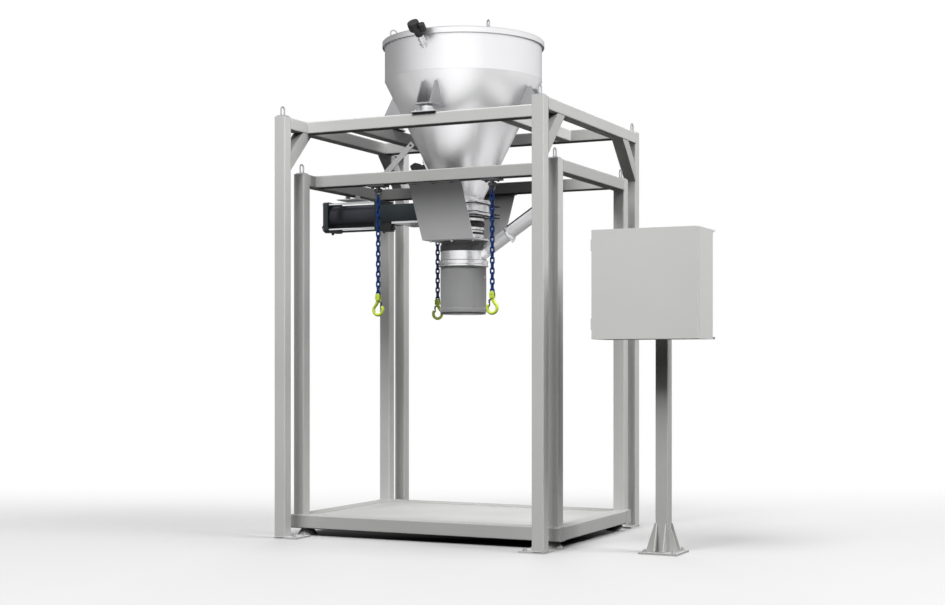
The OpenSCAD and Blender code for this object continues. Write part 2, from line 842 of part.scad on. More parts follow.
// The blade with its fork, the piston rod and the piston
module gate_blade() {
    fork_l = 40;
    fork_w = 40;
    fork_h = 30;
    past_gate = 8;
    tail = gate_r + past_gate;
    rod_x = barrel_x - cap_l / 4;
    color(steel) translate([0, 0, blade_z]) {
        translate([0, 0, -blade_t / 2]) {
            cylinder(r = blade_half, h = blade_t);
            translate([-tail, -blade_half, 0]) cube([tail, 2 * blade_half, blade_t]);
        }
        translate([-tail - fork_l + blade_t, -fork_w / 2, -fork_h / 2])
            cube([fork_l - blade_t, fork_w, fork_h]);
        translate([rod_x, 0, 0]) bar_x(rod_r, -tail - fork_l / 2 - rod_x);
        translate([rod_x - piston_t, 0, 0]) bar_x(barrel_r - barrel_wall - fit, piston_t);
    }
}

// Air cylinder

module cylinder_barrel() {
    l = barrel_x - rear_cap_x;
    color(slate) translate([rear_cap_x, 0, blade_z]) difference() {
        bar_x(barrel_r, l);
        translate([-past, 0, 0]) bar_x(barrel_r - barrel_wall, l + 2 * past);
    }
}

module tie_rod_places() {
    place = cap_w / 2 - tie_edge;
    for (y = [-1, 1], z = [-1, 1]) translate([0, y * place, blade_z + z * place]) children();
}

module cylinder_cap(x) {
    corner = 14;
    translate([x, 0, blade_z]) rotate([90, 0, 90])
        linear_extrude(cap_l) rounded_rect(cap_w, cap_w, corner);
}

module cylinder_caps() {
    color(slate) difference() {
        union() {
            cylinder_cap(barrel_x);
            cylinder_cap(rear_cap_x - cap_l);
        }
        tie_rod_places() translate([rear_cap_x - cap_l - past, 0, 0])
            bar_x(tie_r + fit, cylinder_l + 2 * past);
        translate([barrel_x - past, 0, blade_z]) bar_x(rod_r + running_fit, cap_l + 2 * past);
    }
}

// Four rods with their nuts, and the flat bar under the end caps
module tie_rods() {
    nut_h = 10;
    bar_w = 30;
    bar_t = 8;
    rear = rear_cap_x - cap_l;
    color(steel) {
        tie_rod_places() {
            translate([rear - nut_h - past, 0, 0]) bar_x(tie_r, cylinder_l + nut_h - past);
            translate([rear - nut_h, 0, 0]) rotate([0, 90, 0])
                cylinder(r = tie_r * 1.7, h = nut_h, $fn = 6);
        }
        translate([rear + bar_t, -cap_w / 2 + bar_t, blade_z - cap_w / 2 - bar_t])
            cube([cylinder_l - bar_t, bar_w, bar_t]);
    }
}

// The plug, the ring and the hose fittings on the air cylinder
module air_fittings() {
    rear = rear_cap_x - cap_l;
    plug_l = 12;
    ring_r = 15;
    ring_wire = 9;
    color(black) {
        translate([rear - plug_l, 0, blade_z]) bar_x(tie_r + 1, plug_l);
        translate([rear - ring_r - ring_wire / 2, -cap_w / 4, blade_z - cap_w / 3])
            bent_bar(ring_r, ring_wire / 2, 0, full_turn);
        translate([rear - plug_l / 2, -cap_w / 4, blade_z - cap_w / 3]) bar_x(tie_r, plug_l / 2);
        for (x = [barrel_x + cap_l / 2, rear_cap_x - cap_l / 2])
            translate([x, 0, blade_z - cap_w / 2]) {
                hex_head(tie_r * 1.8, tie_r);
                translate([0, 0, -1.5 * plug_l]) cylinder(r = tie_r, h = plug_l);
            }
    }
}

module pilot_valve() {
    valve_l = 92;
    valve_w = 56;
    valve_h = 64;
    inset = 24;
    knob_l = 14;
    knob_drop = 8;
    valve_x = bonnet_x + inset;
    valve_y = -bonnet_half + inset / 2;
    top = blade_z - bonnet_h / 2;
    color(black) translate([valve_x, valve_y, top - valve_h]) {
        translate([valve_h / 2, 0, 0]) cube([valve_l - valve_h / 2, valve_w, valve_h]);
        translate([valve_h / 2, valve_w / 2, valve_h / 2]) bar_y(valve_h / 2, valve_w);
        translate([0, 0, valve_h / 2]) cube([valve_h, valve_w, valve_h / 2]);
        translate([valve_l, valve_w / 2, valve_h / 2 - knob_drop]) bar_x(valve_h / 4, knob_l);
    }
}

// Sleeve, cradle and spout

module flex_sleeve() {
    fold_r = 6;
    middle = sleeve_low + sleeve_h / 2;
    color(black) difference() {
        union() {
            translate([0, 0, sleeve_low]) cylinder(r = sleeve_r, h = sleeve_h);
            translate([0, 0, middle]) rotate_extrude()
                translate([sleeve_r - fold_r / 3, 0]) circle(fold_r);
        }
        translate([0, 0, sleeve_low - past]) cylinder(r = pipe_r + fit, h = sleeve_h + 2 * past);
    }
}

// One band clamp: a split ring with two ears and a screw
module band_clamp(r, h) {
    ear_l = 18;
    ear_t = 5;
    slit = 6;
    screw_r = 3.5;
    screw_l = 36;
    ear_y = -r - fit - ear_l;
    difference() {
        union() {
            cylinder(r = r + fit + band_t, h = h);
            translate([-ear_t - slit / 2, ear_y, 0]) cube([2 * ear_t + slit, ear_l, h]);
        }
        translate([0, 0, -past]) cylinder(r = r + fit, h = h + 2 * past);
        translate([-slit / 2, ear_y - past, -past]) cube([slit, ear_l + 2 * past, h + 2 * past]);
    }
    translate([-screw_l / 2, ear_y + ear_l * 0.4, h / 2]) bar_x(screw_r, screw_l);
}

// Where the dust pipe starts, turned along its axis
module along_vent() {
    translate([plenum_r, 0, vent_z]) rotate([0, 90 - vent_rise, 0]) children();
}

module band_clamps() {
    upper_drop = 13;
    lower_rise = 3;
    vent_band = 210;
    vent_turn = 45;
    color(steel) {
        translate([0, 0, sleeve_top - upper_drop - band_h]) band_clamp(sleeve_r, band_h);
        translate([0, 0, sleeve_low + lower_rise]) band_clamp(sleeve_r, band_h);
        along_vent() translate([0, 0, vent_band]) rotate([0, 0, vent_turn])
            band_clamp(vent_r, 1.5 * band_h);
    }
}

module cradle() {
    rise = inner_beam_z - cradle_z;
    run = inner_cross_y - cradle_floor;
    level_t = cradle_t * sqrt(1 + pow(run / rise, 2));
    step = cradle_t * run / rise;
    flange_y = inner_cross_y + cradle_flange;
    foot_y = cradle_floor + step - level_t;
    half = [
        [cradle_floor, cradle_z], [inner_cross_y - step, inner_beam_z - cradle_t],
        [flange_y, inner_beam_z - cradle_t], [flange_y, inner_beam_z],
        [inner_cross_y - level_t, inner_beam_z], [foot_y, cradle_z + cradle_t]
    ];
    mirrored = [for (i = [len(half) - 1 : -1 : 0]) [-half[i][0], half[i][1]]];
    color(dark_steel) difference() {
        translate([-cradle_half, 0, 0]) rotate([90, 0, 90])
            linear_extrude(2 * cradle_half) polygon(concat(half, mirrored));
        translate([0, 0, cradle_z - past]) cylinder(r = pipe_r + fit, h = cradle_t + 2 * past);
    }
}

// Bolt heads of the cradle, the hangers, the spout flange and the gate
module fixing_bolts() {
    bolt_r = 11;
    bolt_h = 8;
    bolt_edge = 1.2 * bolt_r;
    hanger_edge = 20;
    cradle_bolt_x = 0.7 * cradle_half;
    bolt_turns = [22.5 : 45 : 337.5];
    color(steel) {
        for (y = [-1, 1], x = [-cradle_bolt_x, 0, cradle_bolt_x])
            translate([x, y * (inner_cross_y + cradle_flange / 2), inner_beam_z - cradle_t])
                hex_head(bolt_r, bolt_h);
        for (x = [-1, 1], y = [-1, 1], side = [-1, 1])
            translate([x * chain_x + side * (hanger_l / 2 - hanger_edge), y * inner_cross_y, hanger_z])
                hex_head(bolt_r, bolt_h);
        for (turn = bolt_turns) rotate([0, 0, turn]) {
            translate([spout_flange_r - bolt_edge, 0, cradle_z + cradle_t + spout_flange_t + bolt_h])
                hex_head(bolt_r, bolt_h);
            translate([outlet_flange_r - bolt_edge, 0, gate_top + outlet_flange_t + bolt_h])
                hex_head(bolt_r, bolt_h);
        }
    }
}

module spout_pipe() {
    top = sleeve_low + sleeve_lap;
    foot = lip_z + lip_h / 4;
    flange_z = cradle_z + cradle_t;
    color(steel) difference() {
        union() {
            translate([0, 0, foot]) cylinder(r = pipe_r, h = top - foot);
            translate([0, 0, flange_z]) cylinder(r = spout_flange_r, h = spout_flange_t);
        }
        translate([0, 0, foot - past]) cylinder(r = pipe_bore, h = top - foot + 2 * past);
    }
}

// A ring-shaped box round the spout, and the pipe that leads dust up and away from it
// through a saddle on the box's side. The pipe's end is drawn in for a hose
module dust_plenum() {
    saddle_turn = 22;
    saddle_rise = 8;
    saddle_t = 3;
    inside_r = plenum_r - vent_wall;
    pipe_l = vent_l - plenum_r + vent_r;
    color(steel) difference() {
        union() {
            translate([0, 0, plenum_z]) cylinder(r = plenum_r, h = plenum_h);
            difference() {
                along_vent() translate([0, 0, -vent_r]) {
                    cylinder(r = vent_r, h = pipe_l - port_l);
                    cylinder(r = vent_r - port_step, h = pipe_l);
                }
                translate([0, 0, plenum_z])
                    cylinder(r = plenum_r - past, h = 4 * plenum_h, center = true);
            }
            rotate([0, 0, -saddle_turn]) rotate_extrude(angle = 2 * saddle_turn)
                translate([inside_r - past, plenum_z + saddle_t])
                    square([vent_wall + past + saddle_t, vent_z - plenum_z + vent_r + saddle_rise]);
        }
        translate([0, 0, plenum_z - past]) cylinder(r = pipe_r + fit, h = plenum_h);
        translate([0, 0, plenum_z + vent_wall])
            cylinder(r = inside_r, h = plenum_h - 2 * vent_wall);
        translate([0, 0, neck_z - vent_wall - past]) cylinder(r = neck_r + fit, h = 2 * plenum_h);
        along_vent() translate([0, 0, -vent_r])
            cylinder(r = vent_r - vent_wall, h = pipe_l + past);
    }
}

// The dark neck under the cradle and the lip at the spout's end
module spout_neck() {
    color(black) {
        translate([0, 0, neck_z + past]) flat_ring(pipe_r + fit, neck_r, neck_h - past);
        translate([0, 0, lip_z]) flat_ring(pipe_r + fit, neck_r, lip_h);
    }
}

// A heavy split ring whose ears meet at the back
module spout_clamp() {
    ear_w = 26;
    ear_l = 22;
    slit = 4;
    z = plenum_z - clamp_h;
    color(steel) difference() {
        union() {
            translate([0, 0, z]) cylinder(r = clamp_r, h = clamp_h);
            translate([-ear_w / 2, clamp_r - ear_l / 2, z]) cube([ear_w, ear_l, clamp_h]);
        }
        translate([0, 0, z - past])
            cylinder(r = seal_r - seal_tuck + fit, h = clamp_h + 2 * past);
        translate([-slit / 2, 0, z - past]) cube([slit, 2 * clamp_r, clamp_h + 2 * past]);
    }
}

// The seal's top is tucked into the clamp
module neck_seal() {
    color(seal_grey) translate([0, 0, seal_z]) difference() {
        union() {
            cylinder(r = seal_r, h = seal_h);
            cylinder(r = seal_r - seal_tuck, h = seal_h + clamp_h);
        }
        translate([0, 0, -past]) cylinder(r = pipe_r + fit, h = seal_h + clamp_h + 2 * past);
    }
}

// Chains and hooks

// Puts its children at one corner, x and y being the signs of the corner
module at_chain(x, y) {
    translate([x * chain_x, y * inner_cross_y, 0]) children();
}

module chain_hangers() {
    color(dark_steel) for (x = [-1, 1], y = [-1, 1]) at_chain(x, y) {
        translate([-hanger_l / 2, -tube / 2, hanger_z]) cube([hanger_l, tube, hanger_t]);
        difference() {
            union() {
                translate([-lug_t / 2, -lug_r, shackle_z])
                    cube([lug_t, 2 * lug_r, hanger_z - shackle_z + past]);
                translate([-lug_t / 2, 0, shackle_z]) bar_x(lug_r, lug_t);
            }
            translate([-lug_t / 2 - past, 0, shackle_z])
                bar_x(shackle_pin_r + running_fit, lug_t + 2 * past);
        }
    }
}

module shackle() {
    ear_r = 12;
    ear_in = lug_t / 2 + fit;
    ear_out = bow_r + bow_wire / 2 + past;
    pin_end = 4;
    pin_half = ear_out + pin_end;
    translate([0, 0, bow_z]) bent_bar(bow_r, bow_wire / 2, 180, 360);
    for (x = [-1, 1]) {
        translate([x * bow_r, 0, bow_z]) cylinder(r = bow_wire / 2, h = bow_drop);
        translate([x > 0 ? ear_in : -ear_out, 0, shackle_z]) bar_x(ear_r, ear_out - ear_in);
    }
    translate([-pin_half, 0, shackle_z]) bar_x(shackle_pin_r, 2 * pin_half);
}

// One chain link in the XZ plane: two round bends and two straight sides
module link() {
    bend = (link_w - link_wire) / 2;
    side = link_pitch + link_wire - 2 * bend;
    for (end = [0, 1]) rotate([0, end * 180, 0])
        translate([0, 0, side / 2]) bent_bar(bend, link_wire / 2, 0, 180);
    for (x = [-1, 1])
        translate([x * bend, 0, 0]) cylinder(r = link_wire / 2, h = side, center = true);
}

module chain() {
    for (i = [0 : link_count - 1])
        translate([0, 0, first_link_z - i * link_step]) rotate([0, 0, i % 2 == 0 ? 90 : 0]) link();
}

// A sling hook with a clevis, its tip towards +X
module hook() {
    clevis_w = 30;
    clevis_t = 32;
    pin_end = 2;
    floor_t = 10;
    cheek = link_wire / 2 + 2 * fit;
    slot_z = last_link_z - link_pitch / 2 - link_wire - pin_end;
    neck_z = slot_z - floor_t - pin_end;
    neck_turn = 125;
    join_x = hook_r * cos(neck_turn);
    join_z = bowl_z + hook_r * sin(neck_turn);
    neck_l = norm([join_x, neck_z - join_z]) + 2 * pin_end;
    lug_r = 6;
    difference() {
        union() {
            translate([-clevis_w / 2, -clevis_t / 2, slot_z - floor_t])
                cube([clevis_w, clevis_t, hook_z - slot_z + floor_t]);
            translate([0, 0, hook_z]) bar_y(clevis_w / 2, clevis_t);
        }
        translate([-clevis_w, -cheek, slot_z]) cube([2 * clevis_w, 2 * cheek, clevis_w * 2]);
    }
    translate([0, 0, hook_z]) bar_y(hook_pin_r, clevis_t + 2 * pin_end);
    translate([0, 0, bowl_z]) bent_bar(hook_r, hook_bar, neck_turn - full_turn, tip_turn);
    translate([hook_r * cos(tip_turn), 0, bowl_z + hook_r * sin(tip_turn)])
        sphere(hook_bar + tip_swell);
    translate([join_x, 0, join_z]) {
        sphere(hook_bar + tip_swell);
        rotate([0, atan2(-join_x, neck_z - join_z), 0])
            cylinder(r1 = hook_bar + fit, r2 = hook_bar + pin_end, h = neck_l);
    }
    difference() {
        translate([latch_x, 0, latch_z]) bar_y(lug_r, 2 * latch_lug_half);
        translate([latch_x, 0, latch_z]) bar_y(latch_pin_r + running_fit, 3 * latch_lug_half);
    }
}

// The latch closes the hook: two cheeks on a pin, and a tongue behind the hook's tip
module latch() {
    cheek_in = latch_lug_half + fit;
    cheek_t = 2;
    cheek_r = 4;
    cheek_l = 24;
    pin_end = 1.5;
    lap = 4;
    latch_w = 2 * (cheek_in + cheek_t);
    tongue_x = hook_r * cos(tip_turn) - hook_bar - tip_swell - fit - latch_t;
    tongue_z = bowl_z + hook_r * sin(tip_turn) - lap;
    translate([latch_x, 0, latch_z]) bar_y(latch_pin_r, latch_w + 2 * pin_end);
    translate([tongue_x, -latch_w / 2, tongue_z])
        cube([latch_t, latch_w, latch_z - tongue_z - cheek_r - pin_end]);
    for (y = [-cheek_in - cheek_t, cheek_in]) {
        translate([latch_x, y + cheek_t / 2, latch_z]) bar_y(cheek_r, cheek_t);
        translate([tongue_x, y, latch_z - cheek_l]) cube([latch_t + lap, cheek_t, cheek_l]);
    }
}

// A corner's hook and latch open towards +X or, turned half round, towards -X
module hook_at(x, y, turn) { color(hook_lime) at_chain(x, y) rotate([0, 0, turn]) hook(); }
module latch_at(x, y, turn) { color(steel) at_chain(x, y) rotate([0, 0, turn]) latch(); }

module shackle_front_left() { color(dark_steel) at_chain(-1, -1) shackle(); }
module shackle_front_right() { color(dark_steel) at_chain(1, -1) shackle(); }
module shackle_rear_left() { color(dark_steel) at_chain(-1, 1) shackle(); }
module shackle_rear_right() { color(dark_steel) at_chain(1, 1) shackle(); }
module chain_front_left() { color(chain_blue) at_chain(-1, -1) chain(); }
module chain_front_right() { color(chain_blue) at_chain(1, -1) chain(); }
module chain_rear_left() { color(chain_blue) at_chain(-1, 1) chain(); }
module chain_rear_right() { color(chain_blue) at_chain(1, 1) chain(); }
module hook_front_left() { hook_at(-1, -1, 0); }
module hook_front_right() { hook_at(1, -1, 180); }
module hook_rear_left() { hook_at(-1, 1, 180); }
module hook_rear_right() { hook_at(1, 1, 0); }
module latch_front_left() { latch_at(-1, -1, 0); }
module latch_front_right() { latch_at(1, -1, 180); }
module latch_rear_left() { latch_at(-1, 1, 180); }
module latch_rear_right() { latch_at(1, 1, 0); }

// Control cabinet

// The outer knuckles of a hinge stand above and below the door's own knuckle
module cabinet_shell() {
    l = cabinet_y - shell_front;
    tab_w = 40;
    tab_out = 14;
    leaf_l = 34;
    color(paint_grey) {
        difference() {
            translate([cabinet_left, shell_front, cabinet_z]) cube([cabinet_w, l, cabinet_h]);
            translate([cabinet_left + sheet_t, shell_front + sheet_t, cabinet_z + sheet_t])
                cube([cabinet_w - 2 * sheet_t, l - 2 * sheet_t, cabinet_h - 2 * sheet_t]);
            translate([cabinet_left + front_flange, shell_front - past, cabinet_z + front_flange])
                cube([cabinet_w - 2 * front_flange, 2 * past + sheet_t, cabinet_h - 2 * front_flange]);
        }
        for (x = [0, 1], z = [0, 1])
            translate([
                cabinet_left + x * (cabinet_w - tab_w) + (2 * x - 1) * tab_out,
                cabinet_y - leaf_t, cabinet_z + z * (cabinet_h - tab_out)
            ]) cube([tab_w, leaf_t, tab_out]);
        for (z = hinge_heights) {
            for (side = [-1, 1]) translate([hinge_x, hinge_y, z + side * (knuckle_h + fit)]) {
                cylinder(r = knuckle_r, h = knuckle_h, center = true);
                translate([cabinet_left - hinge_x - leaf_t, 0, -knuckle_h / 2])
                    cube([leaf_t, leaf_l, knuckle_h]);
            }
            translate([hinge_x, hinge_y, z]) cylinder(r = hinge_pin_r, h = 2 * knuckle_h, center = true);
        }
    }
}

module cabinet_door() {
    color(paint_grey) {
        difference() {
            translate([cabinet_left, door_y, cabinet_z]) cube([cabinet_w, door_t, cabinet_h]);
            translate([cabinet_left + sheet_t, door_y + sheet_t, cabinet_z + sheet_t])
                cube([cabinet_w - 2 * sheet_t, door_t, cabinet_h - 2 * sheet_t]);
        }
        for (z = hinge_heights) difference() {
            union() {
                translate([hinge_x, hinge_y, z])
                    cylinder(r = knuckle_r, h = knuckle_h - fit, center = true);
                translate([cabinet_left - leaf_t, door_y + leaf_t, z - (knuckle_h - fit) / 2])
                    cube([leaf_t, door_t - leaf_t, knuckle_h - fit]);
            }
            translate([hinge_x, hinge_y, z])
                cylinder(r = hinge_pin_r + running_fit, h = 2 * knuckle_h, center = true);
        }
    }
}

module cabinet_stand() {
    top = cabinet_z + cabinet_h - 2 * front_flange;
    inset = stand_foot_w / 2 - anchor_edge;
    edge = tube / 2 - tube_r;
    color(paint_grey) translate([stand_x, -stand_y, 0]) {
        difference() {
            translate([-stand_foot_w / 2, -stand_foot_w / 2, 0])
                cube([stand_foot_w, stand_foot_w, foot_t]);
            for (x = [-inset, inset], y = [-inset, inset])
                translate([x, y, -past]) cylinder(r = anchor_r, h = foot_t + 2 * past);
        }
        translate([0, 0, foot_t]) linear_extrude(top - foot_t) tube_section();
        translate([0, 0, top - end_plate_t])
            linear_extrude(end_plate_t) rounded_rect(tube, tube, tube_r);
        for (turn = [0 : 90 : 270], side = [-1, 1]) rotate([0, 0, turn])
            translate([tube / 2 - past, side * (edge - gusset_t / 2), foot_t - past])
                rotate([90, 0, 0]) linear_extrude(gusset_t, center = true) polygon([
                    [0, 0], [stand_gusset_l, 0], [stand_gusset_l, gusset_t],
                    [gusset_t, stand_gusset_h], [0, stand_gusset_h]
                ]);
    }
}

// The plate in the cabinet that carries the controls, on four studs
module mounting_plate() {
    stud_r = 6;
    w = cabinet_w - 2 * plate_margin;
    h = cabinet_h - 2 * plate_margin;
    back = cabinet_y - sheet_t;
    color(steel) {
        translate([cabinet_left + plate_margin, back - stud_l - plate_t, cabinet_z + plate_margin])
            cube([w, plate_t, h]);
        for (x = [0, 1], z = [0, 1])
            translate([
                cabinet_left + 2 * plate_margin + x * (w - 2 * plate_margin),
                back - (stud_l + past) / 2,
                cabinet_z + 2 * plate_margin + z * (h - 2 * plate_margin)
            ]) bar_y(stud_r, stud_l + past);
    }
}

// Rails with a controller, a power supply, relays, terminals and the air valves
module control_gear() {
    plate_y = cabinet_y - sheet_t - stud_l - plate_t;
    rail_h = 35;
    rail_t = 8;
    rail_l = 440;
    gap = 12;
    left = cabinet_x - rail_l / 2;
    // Each row: height of its rail above the cabinet's underside, and its blocks as
    // width, height and depth from the left
    rows = [
        [460, [[90, 130, 120], [130, 130, 90], [45, 110, 80], [45, 110, 80]]],
        [290, [[24, 90, 70], [24, 90, 70], [24, 90, 70], [24, 90, 70], [60, 90, 90]]],
        [130, [[160, 60, 55], [120, 80, 75]]]
    ];
    color(black) for (row = rows) {
        z = cabinet_z + row[0];
        translate([left, plate_y - rail_t, z - rail_h / 2]) cube([rail_l, rail_t, rail_h]);
        blocks = row[1];
        for (i = [0 : len(blocks) - 1]) {
            before = [for (j = 0, x = gap; j <= i; x = x + blocks[j][0] + gap, j = j + 1) x];
            translate([left + before[i], plate_y - rail_t - blocks[i][2] + past, z - blocks[i][1] / 2])
                cube([blocks[i][0], blocks[i][2], blocks[i][1]]);
        }
    }
}

outer_posts();
outer_side_beams();
outer_cross_beams();
hopper_rails();
knee_braces();
lifting_eyes();
inner_posts();
inner_side_beams();
inner_cross_beams();
base_cross_rails();
base_side_rails();
deck_plate();
base_feet();
hopper_shell();
hopper_cover();
inlet_collar();
hopper_brackets();
load_cells();
level_sensor();
vibrator();
stay_bracket();
gate_body();
gate_bonnet();
gate_blade();
cylinder_barrel();
cylinder_caps();
tie_rods();
air_fittings();
pilot_valve();
flex_sleeve();
band_clamps();
cradle();
fixing_bolts();
spout_pipe();
dust_plenum();
spout_neck();
spout_clamp();
neck_seal();
chain_hangers();
shackle_front_left();
shackle_front_right();
shackle_rear_left();
shackle_rear_right();
chain_front_left();
chain_front_right();
chain_rear_left();
chain_rear_right();
hook_front_left();
hook_front_right();
hook_rear_left();
hook_rear_right();
latch_front_left();
latch_front_right();
latch_rear_left();
latch_rear_right();
cabinet_shell();
cabinet_door();
cabinet_stand();
mounting_plate();
control_gear();
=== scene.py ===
# %% [markdown]
# # Bulk bag filling machine
# A hopper on a tube frame weighs out product, and a knife gate lets it fall through a spout
# that hangs between four chains with hooks. The solids come packed from the drawing, at their
# real size in metres. This file dresses them: it gives every piece its finish, and rebuilds
# in finer mesh the turned, cast and rolled pieces whose look depends on smooth curves.

# %% Load the machine
import math

import bmesh
import bpy
from mathutils import Matrix, Vector


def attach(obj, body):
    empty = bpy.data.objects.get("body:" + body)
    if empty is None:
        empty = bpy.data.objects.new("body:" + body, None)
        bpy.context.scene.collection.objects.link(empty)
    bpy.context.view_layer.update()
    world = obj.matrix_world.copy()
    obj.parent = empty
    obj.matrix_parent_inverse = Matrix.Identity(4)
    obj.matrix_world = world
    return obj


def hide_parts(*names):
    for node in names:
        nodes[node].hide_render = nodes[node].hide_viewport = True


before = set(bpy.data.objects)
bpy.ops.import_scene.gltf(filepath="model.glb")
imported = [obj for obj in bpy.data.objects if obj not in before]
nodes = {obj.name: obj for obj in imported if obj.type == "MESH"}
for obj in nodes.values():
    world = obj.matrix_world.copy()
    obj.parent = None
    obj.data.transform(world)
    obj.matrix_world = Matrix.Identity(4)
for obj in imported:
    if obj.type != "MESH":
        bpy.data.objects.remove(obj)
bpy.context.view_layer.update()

# %% [markdown]
# ## The camera
# The picture was taken from the right of the machine's front, with the lens level at about
# chest height. A level camera keeps the posts upright in the picture, and a small upward
# shift of the sensor brings the hopper in, as an architecture photographer would do.

# %% Camera
picture_width, picture_height = 945, 605
focal_pixels = 1510.39
horizon_row = 363.27

camera_data = bpy.data.cameras.new("camera")
camera = bpy.data.objects.new("camera", camera_data)
bpy.context.scene.collection.objects.link(camera)
camera.location = (4.4527, -9.1681, 1.1398)
camera.rotation_euler = (math.radians(90), 0, math.radians(25.56))
camera_data.sensor_width = 36
camera_data.lens = 36 * focal_pixels / picture_width
camera_data.shift_y = (horizon_row - picture_height / 2) / picture_width
camera_data.clip_end = 200
bpy.context.scene.camera = camera
print("lens", round(camera_data.lens, 2), "mm, shift", round(camera_data.shift_y, 4))

# %% [markdown]
# ## Node helpers
# Each finish is a small network of shader nodes. Every node and link could be typed out for
# each finish, but that would bury what differs, so short helpers take the repeated steps: they
# empty a node tree, start a material, add a node with its settings, and link a list of nodes.

# %% Material helpers
def empty_tree(owner):
    """Gives a material or a world an empty node tree."""
    owner.use_nodes = True
    owner.node_tree.nodes.clear()
    return owner.node_tree


def start_material(name):
    material = bpy.data.materials.new(name)
    tree = empty_tree(material)
    output = tree.nodes.new("ShaderNodeOutputMaterial")
    shader = tree.nodes.new("ShaderNodeBsdfPrincipled")
    tree.links.new(shader.outputs[0], output.inputs["Surface"])
    return material, tree, shader


def add_node(tree, kind, settings=None, values=None):
    node = tree.nodes.new("ShaderNode" + kind)
    for key, value in (settings or {}).items():
        setattr(node, key, value)
    for key, value in (values or {}).items():
        node.inputs[key].default_value = value
    return node


def wire(tree, *links):
    """Links nodes: each link names a node and its output, then a node and its input."""
    for source, output, target, entry in links:
        tree.links.new(source.outputs[output], target.inputs[entry])


# %% [markdown]
# ## Pattern helpers
# A pattern is a noise that reads Object coordinates, so that it stays on a piece wherever the
# piece moves. Most of a noise's values lie near its middle, so that range is the one that is
# turned into a value, such as a roughness, or into a colour between two tones.

# %% Pattern helpers
noise_low, noise_high = 0.3, 0.7


def object_noise(tree, stretch, scale, detail=4.0, roughness=0.5):
    """Noise in the piece's own metres; a large number in stretch packs it tighter that way."""
    place = add_node(tree, "TexCoord")
    mapping = add_node(tree, "Mapping", None, {"Scale": stretch})
    noise = add_node(tree, "TexNoise", None,
                     {"Scale": scale, "Detail": detail, "Roughness": roughness})
    wire(tree, (place, "Object", mapping, "Vector"),
         (mapping, 0, noise, "Vector"))
    return noise


def spread(tree, source, low, high):
    """Turns a pattern's middle range into values from low to high."""
    node = add_node(tree, "MapRange", None,
                    {"From Min": noise_low, "From Max": noise_high, "To Min": low, "To Max": high})
    tree.links.new(source, node.inputs["Value"])
    return node.outputs[0]


def two_tone(tree, source, first, second):
    """A colour between two tones, chosen by a pattern."""
    ramp = add_node(tree, "ValToRGB")
    ramp.color_ramp.elements[0].position = noise_low
    ramp.color_ramp.elements[0].color = (*first, 1)
    ramp.color_ramp.elements[1].position = noise_high
    ramp.color_ramp.elements[1].color = (*second, 1)
    tree.links.new(source, ramp.inputs["Fac"])
    return ramp.outputs["Color"]


# %% [markdown]
# ## Tone and bump helpers
# Some finishes change over a piece: painted shade darkens faces that look down, and those that
# look up, where the light from above is strong. A piece could be painted by hand for that, but
# scaling its tone by its own normal or place does it for every piece at once. The bump helper
# lays fine relief.

# %% Tone and bump helpers
def toned(material, output, axis, start, end, first, last, spared=None):
    """Scales a finish's tone along an axis of the piece's places or of its normals.

    Beyond the places along X that are given as spared, the tone isn't scaled down.
    """
    tree = material.node_tree
    shader = next(node for node in tree.nodes if node.type == "BSDF_PRINCIPLED")
    colour = shader.inputs["Base Color"].links[0].from_socket
    place = add_node(tree, "TexCoord")
    split = add_node(tree, "SeparateXYZ")
    share = add_node(tree, "MapRange", {"interpolation_type": "SMOOTHSTEP"},
                     {"From Min": start, "From Max": end, "To Min": first, "To Max": last})
    scaled = add_node(tree, "VectorMath", {"operation": "SCALE"})
    wire(tree, (place, output, split, 0),
         (split, axis, share, "Value"))
    tree.links.new(colour, scaled.inputs[0])
    tree.links.new(scaled.outputs[0], shader.inputs["Base Color"])
    if spared is None:
        tree.links.new(share.outputs[0], scaled.inputs["Scale"])
        return
    beyond = add_node(tree, "MapRange", {"interpolation_type": "SMOOTHSTEP"},
                      {"From Min": spared[0], "From Max": spared[1], "To Min": 0.0, "To Max": 1.0})
    larger = add_node(tree, "Math", {"operation": "MAXIMUM"})
    wire(tree, (split, "X", beyond, "Value"),
         (share, 0, larger, 0),
         (beyond, 0, larger, 1),
         (larger, 0, scaled, "Scale"))


def add_bump(tree, shader, source, strength, distance):
    bump = add_node(tree, "Bump", None, {"Strength": strength, "Distance": distance})
    tree.links.new(source, bump.inputs["Height"])
    tree.links.new(bump.outputs[0], shader.inputs["Normal"])


# %% [markdown]
# ## Painted steel
# The frame is square tube under a matt grey powder coat. Powder coat has a faint
# orange-peel skin and a very even colour. A low, broad noise moves the tone by a few
# percent, and a fine one gives the peel through the bump. The inner frame and its cross beams
# get deeper copies of the coat as painted shade, and the inner and outer cross beams darken
# towards the back as painted shade. Faces that look down, and those that look up, are darkened
# as painted shade; the piece's own normal picks both out. The deck's paint is darkened as
# painted shade against the strong light from above. The chain is dipped in a clear dark blue,
# and the gate's cylinder in slate.

# %% Paint finishes
def paint(name, light, dark, gloss_low, gloss_high, peel=0.10, shine=0.0):
    material, tree, shader = start_material(name)
    cloud = object_noise(tree, (1, 1, 1), 2.2, 3)
    fine = object_noise(tree, (1, 1, 1), 420, 2)
    tree.links.new(two_tone(tree, cloud.outputs["Fac"], dark, light), shader.inputs["Base Color"])
    tree.links.new(spread(tree, cloud.outputs["Fac"], gloss_low, gloss_high),
                   shader.inputs["Roughness"])
    shader.inputs["Specular IOR Level"].default_value = shine
    add_bump(tree, shader, fine.outputs["Fac"], peel, 0.0004)
    return material


